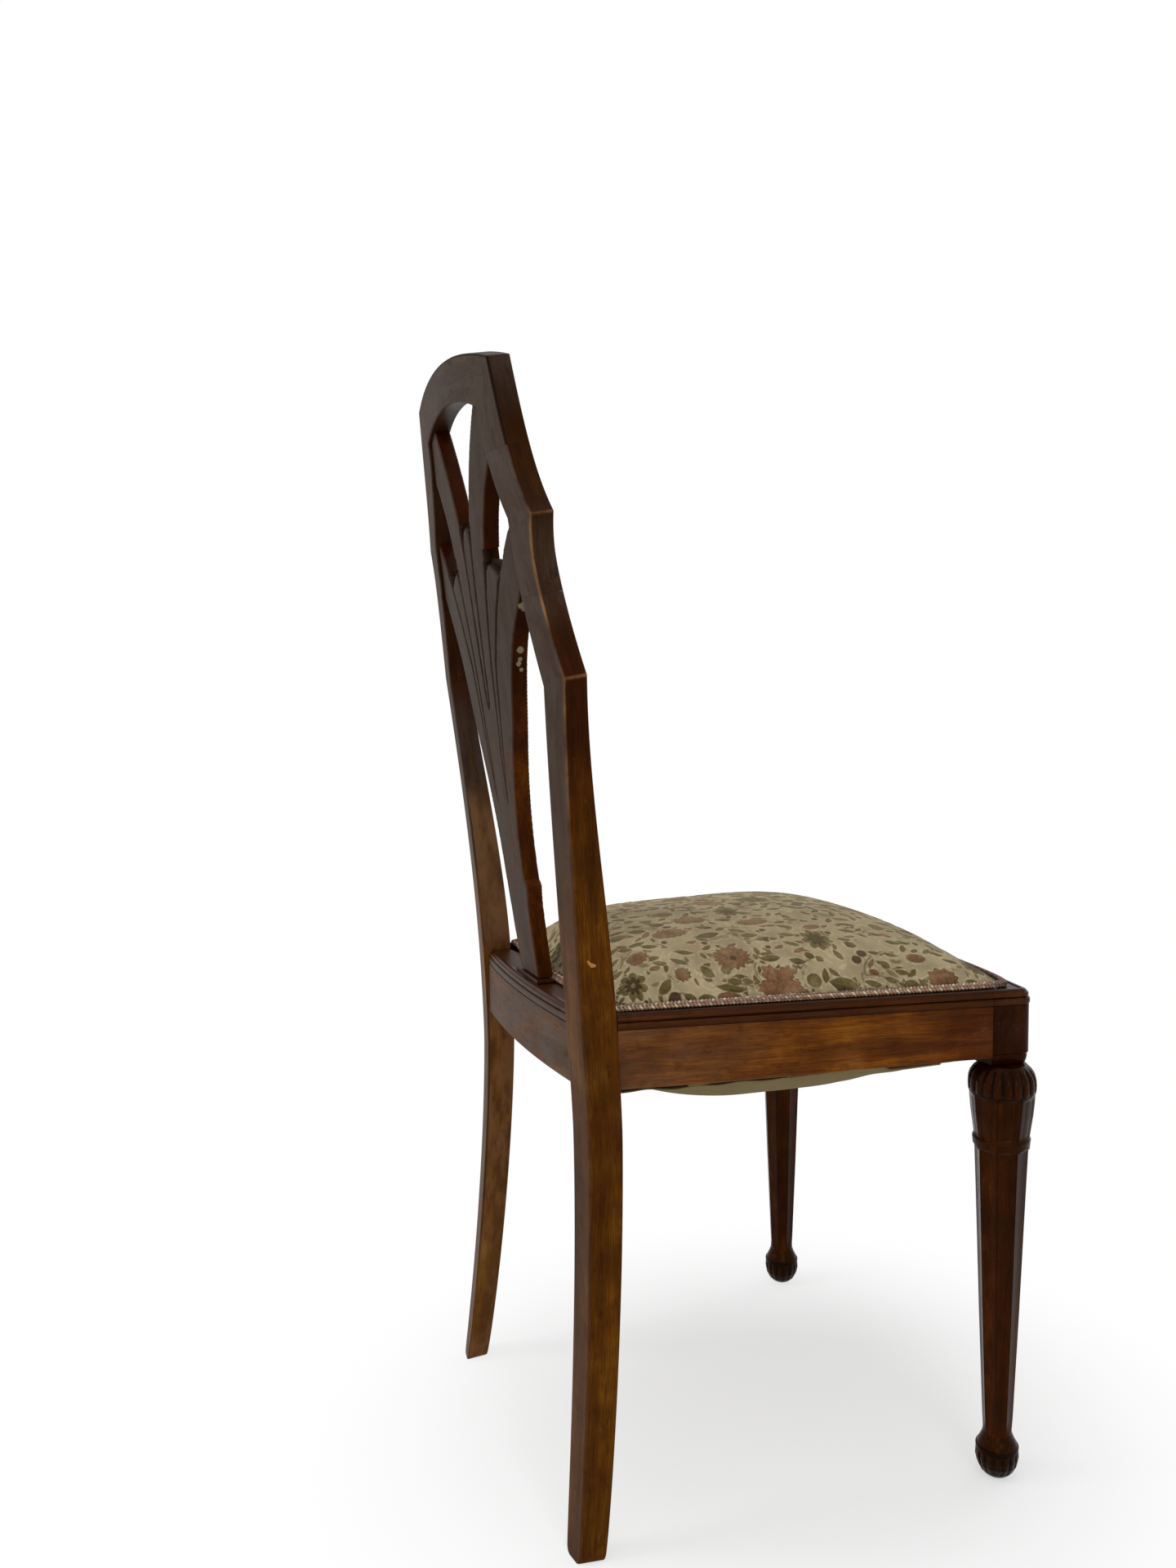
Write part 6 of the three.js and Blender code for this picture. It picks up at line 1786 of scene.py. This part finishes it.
class CHAIR_OT_seat(bpy.types.Operator):
    """Make the stuffed seat in its velvet cover"""

    bl_idname = "chair.seat"
    bl_label = "Seat"

    def execute(self, context):
        settings = context.scene.chair_seat
        rise, lift = settings.rise / MM, settings.lift / MM
        cushion = put_mesh("seat_cushion", *seat_part(rise, lift), sharp=0)
        remesh = cushion.modifiers.new("even", "REMESH")
        remesh.mode, remesh.voxel_size = "VOXEL", 0.005
        applied(cushion)
        start, held = swell(cushion, settings.swell_cap / MM)
        held = blend(start, held, smooth_step(0.5, 14, start[:, 2:] - SEAT_BASE))
        held[:, 2] = np.maximum(held[:, 2], SEAT_BASE + 0.2)
        set_places(cushion, held)
        finer = cushion.modifiers.new("finer", "SUBSURF")
        finer.levels = finer.render_levels = 2
        applied(cushion)
        places = vertex_places(cushion)
        cloth = cloth_coordinates(places, rise, lift)
        fields, vein, side = drawn_fields(cloth[:, :2])
        put_attribute(cushion.data, "cloth", cloth * MM)
        put_attribute(cushion.data, "drawing", np.column_stack([fields[k] for k in YARNS[:3]]))
        put_attribute(cushion.data, "detail", np.column_stack([fields["stem"], vein, side]))
        pile = np.maximum.reduce(list(fields.values()))
        places[:, 2] += 0.35 * smooth_step(-0.8, 0.8, pile) * (places[:, 2] > SEAT_BASE + 3)
        set_places(cushion, places)
        cushion.data.shade_smooth()
        rides(cushion, ["seat_cover", "seat_pad"], velvet("cut_velvet"))
        return {"FINISHED"}


class CHAIR_OT_braid(bpy.types.Operator):
    """Plait the braid round the seat cover's edge"""

    bl_idname = "chair.braid"
    bl_label = "Braid"

    def execute(self, context):
        finish = cord_finish("braid_yarn", "ad8163", "5a3a2c", "d6c8a6")
        add_piece("plaited_braid", braid_part(), "gimp_braid", finish, sharp=0)
        return {"FINISHED"}


def cloth_piece(name, part, thickness, node, finish):
    """An open sheet of the given thickness in metres, half of it to each side."""
    piece = put_mesh(name, *part, sharp=0, closed=False)
    solid = piece.modifiers.new("thickness", "SOLIDIFY")
    solid.thickness, solid.offset = thickness, 0
    return rides(piece, [node], finish)


class CHAIR_OT_underside(bpy.types.Operator):
    """Make the webbing, the sacking and the cloth under the seat"""

    bl_idname = "chair.underside"
    bl_label = "Underside"

    def execute(self, context):
        cream = woven("dust_cloth", "8b7a50", "6d5f3a", 900, "6c5a36")
        jute = woven("jute", "9c8358", "5f4b2e", 420, "5a4630")
        cloth, sacking = bottom_cloth_part(), hessian_part()
        piece = cloth_piece("dust_sheet", cloth, 0.0008, "bottom_cloth", cream)
        piece = cloth_piece("sacking", sacking, 0.0006, "hessian", jute)
        for way, straps in (("lengthwise", (("right", -70), ("middle", 0), ("left", 70))),
                            ("crosswise", (("front", -115), ("middle", -30), ("rear", 55)))):
            for name, at in straps:
                strap = strap_part(way == "lengthwise", at)
                cloth_piece(f"strap_{way}_{name}", strap, 0.0014, f"webbing_{way}_{name}", jute)
        return {"FINISHED"}


class CHAIR_OT_kept_pieces(bpy.types.Operator):
    """Give the frame's own blocks, dowels, screws and springs their finishes"""

    bl_idname = "chair.kept_pieces"
    bl_label = "Kept pieces"

    def execute(self, context):
        bare = plain_wood("bare_wood", "a98a5c", "7c5f3a")
        steel = metal("dull_steel", "8e8c88", "5b3a24")
        finishes = {"corner_block": bare, "dowel": bare, "screw": steel, "spring": steel}
        for name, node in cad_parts.items():
            for kind, finish in finishes.items():
                if kind in name:
                    for slot in node.material_slots:
                        slot.material = finish
        return {"FINISHED"}


class CHAIR_PT_panel(bpy.types.Panel):
    """The chair's pieces in the sidebar"""

    bl_label = "Shield back chair"
    bl_idname = "CHAIR_PT_panel"
    bl_space_type = "VIEW_3D"
    bl_region_type = "UI"
    bl_category = "Chair"

    def draw(self, context):
        for group in ("chair_stage", "chair_wood", "chair_seat"):
            settings = getattr(context.scene, group)
            box = self.layout.box()
            for key in settings.__annotations__:
                box.prop(settings, key)
        for operator in OPERATORS:
            self.layout.operator(operator.bl_idname)


OPERATORS = (
    CHAIR_OT_stage, CHAIR_OT_back, CHAIR_OT_splat, CHAIR_OT_seat_frame, CHAIR_OT_front_legs, CHAIR_OT_seat,
    CHAIR_OT_braid, CHAIR_OT_underside, CHAIR_OT_kept_pieces,
)
SETTINGS = {
    "chair_stage": ChairStageSettings,
    "chair_wood": ChairWoodSettings,
    "chair_seat": ChairSeatSettings,
}


def register():
    for some_class in (*SETTINGS.values(), *OPERATORS, CHAIR_PT_panel):
        bpy.utils.register_class(some_class)
    for key, settings in SETTINGS.items():
        setattr(bpy.types.Scene, key, bpy.props.PointerProperty(type=settings))


def unregister():
    for key in SETTINGS:
        delattr(bpy.types.Scene, key)
    for some_class in (CHAIR_PT_panel, *reversed(OPERATORS), *SETTINGS.values()):
        bpy.utils.unregister_class(some_class)


def main():
    register()
    for operator in OPERATORS:
        group, call = operator.bl_idname.split(".")
        getattr(getattr(bpy.ops, group), call)()


if __name__ == "__main__":
    main()
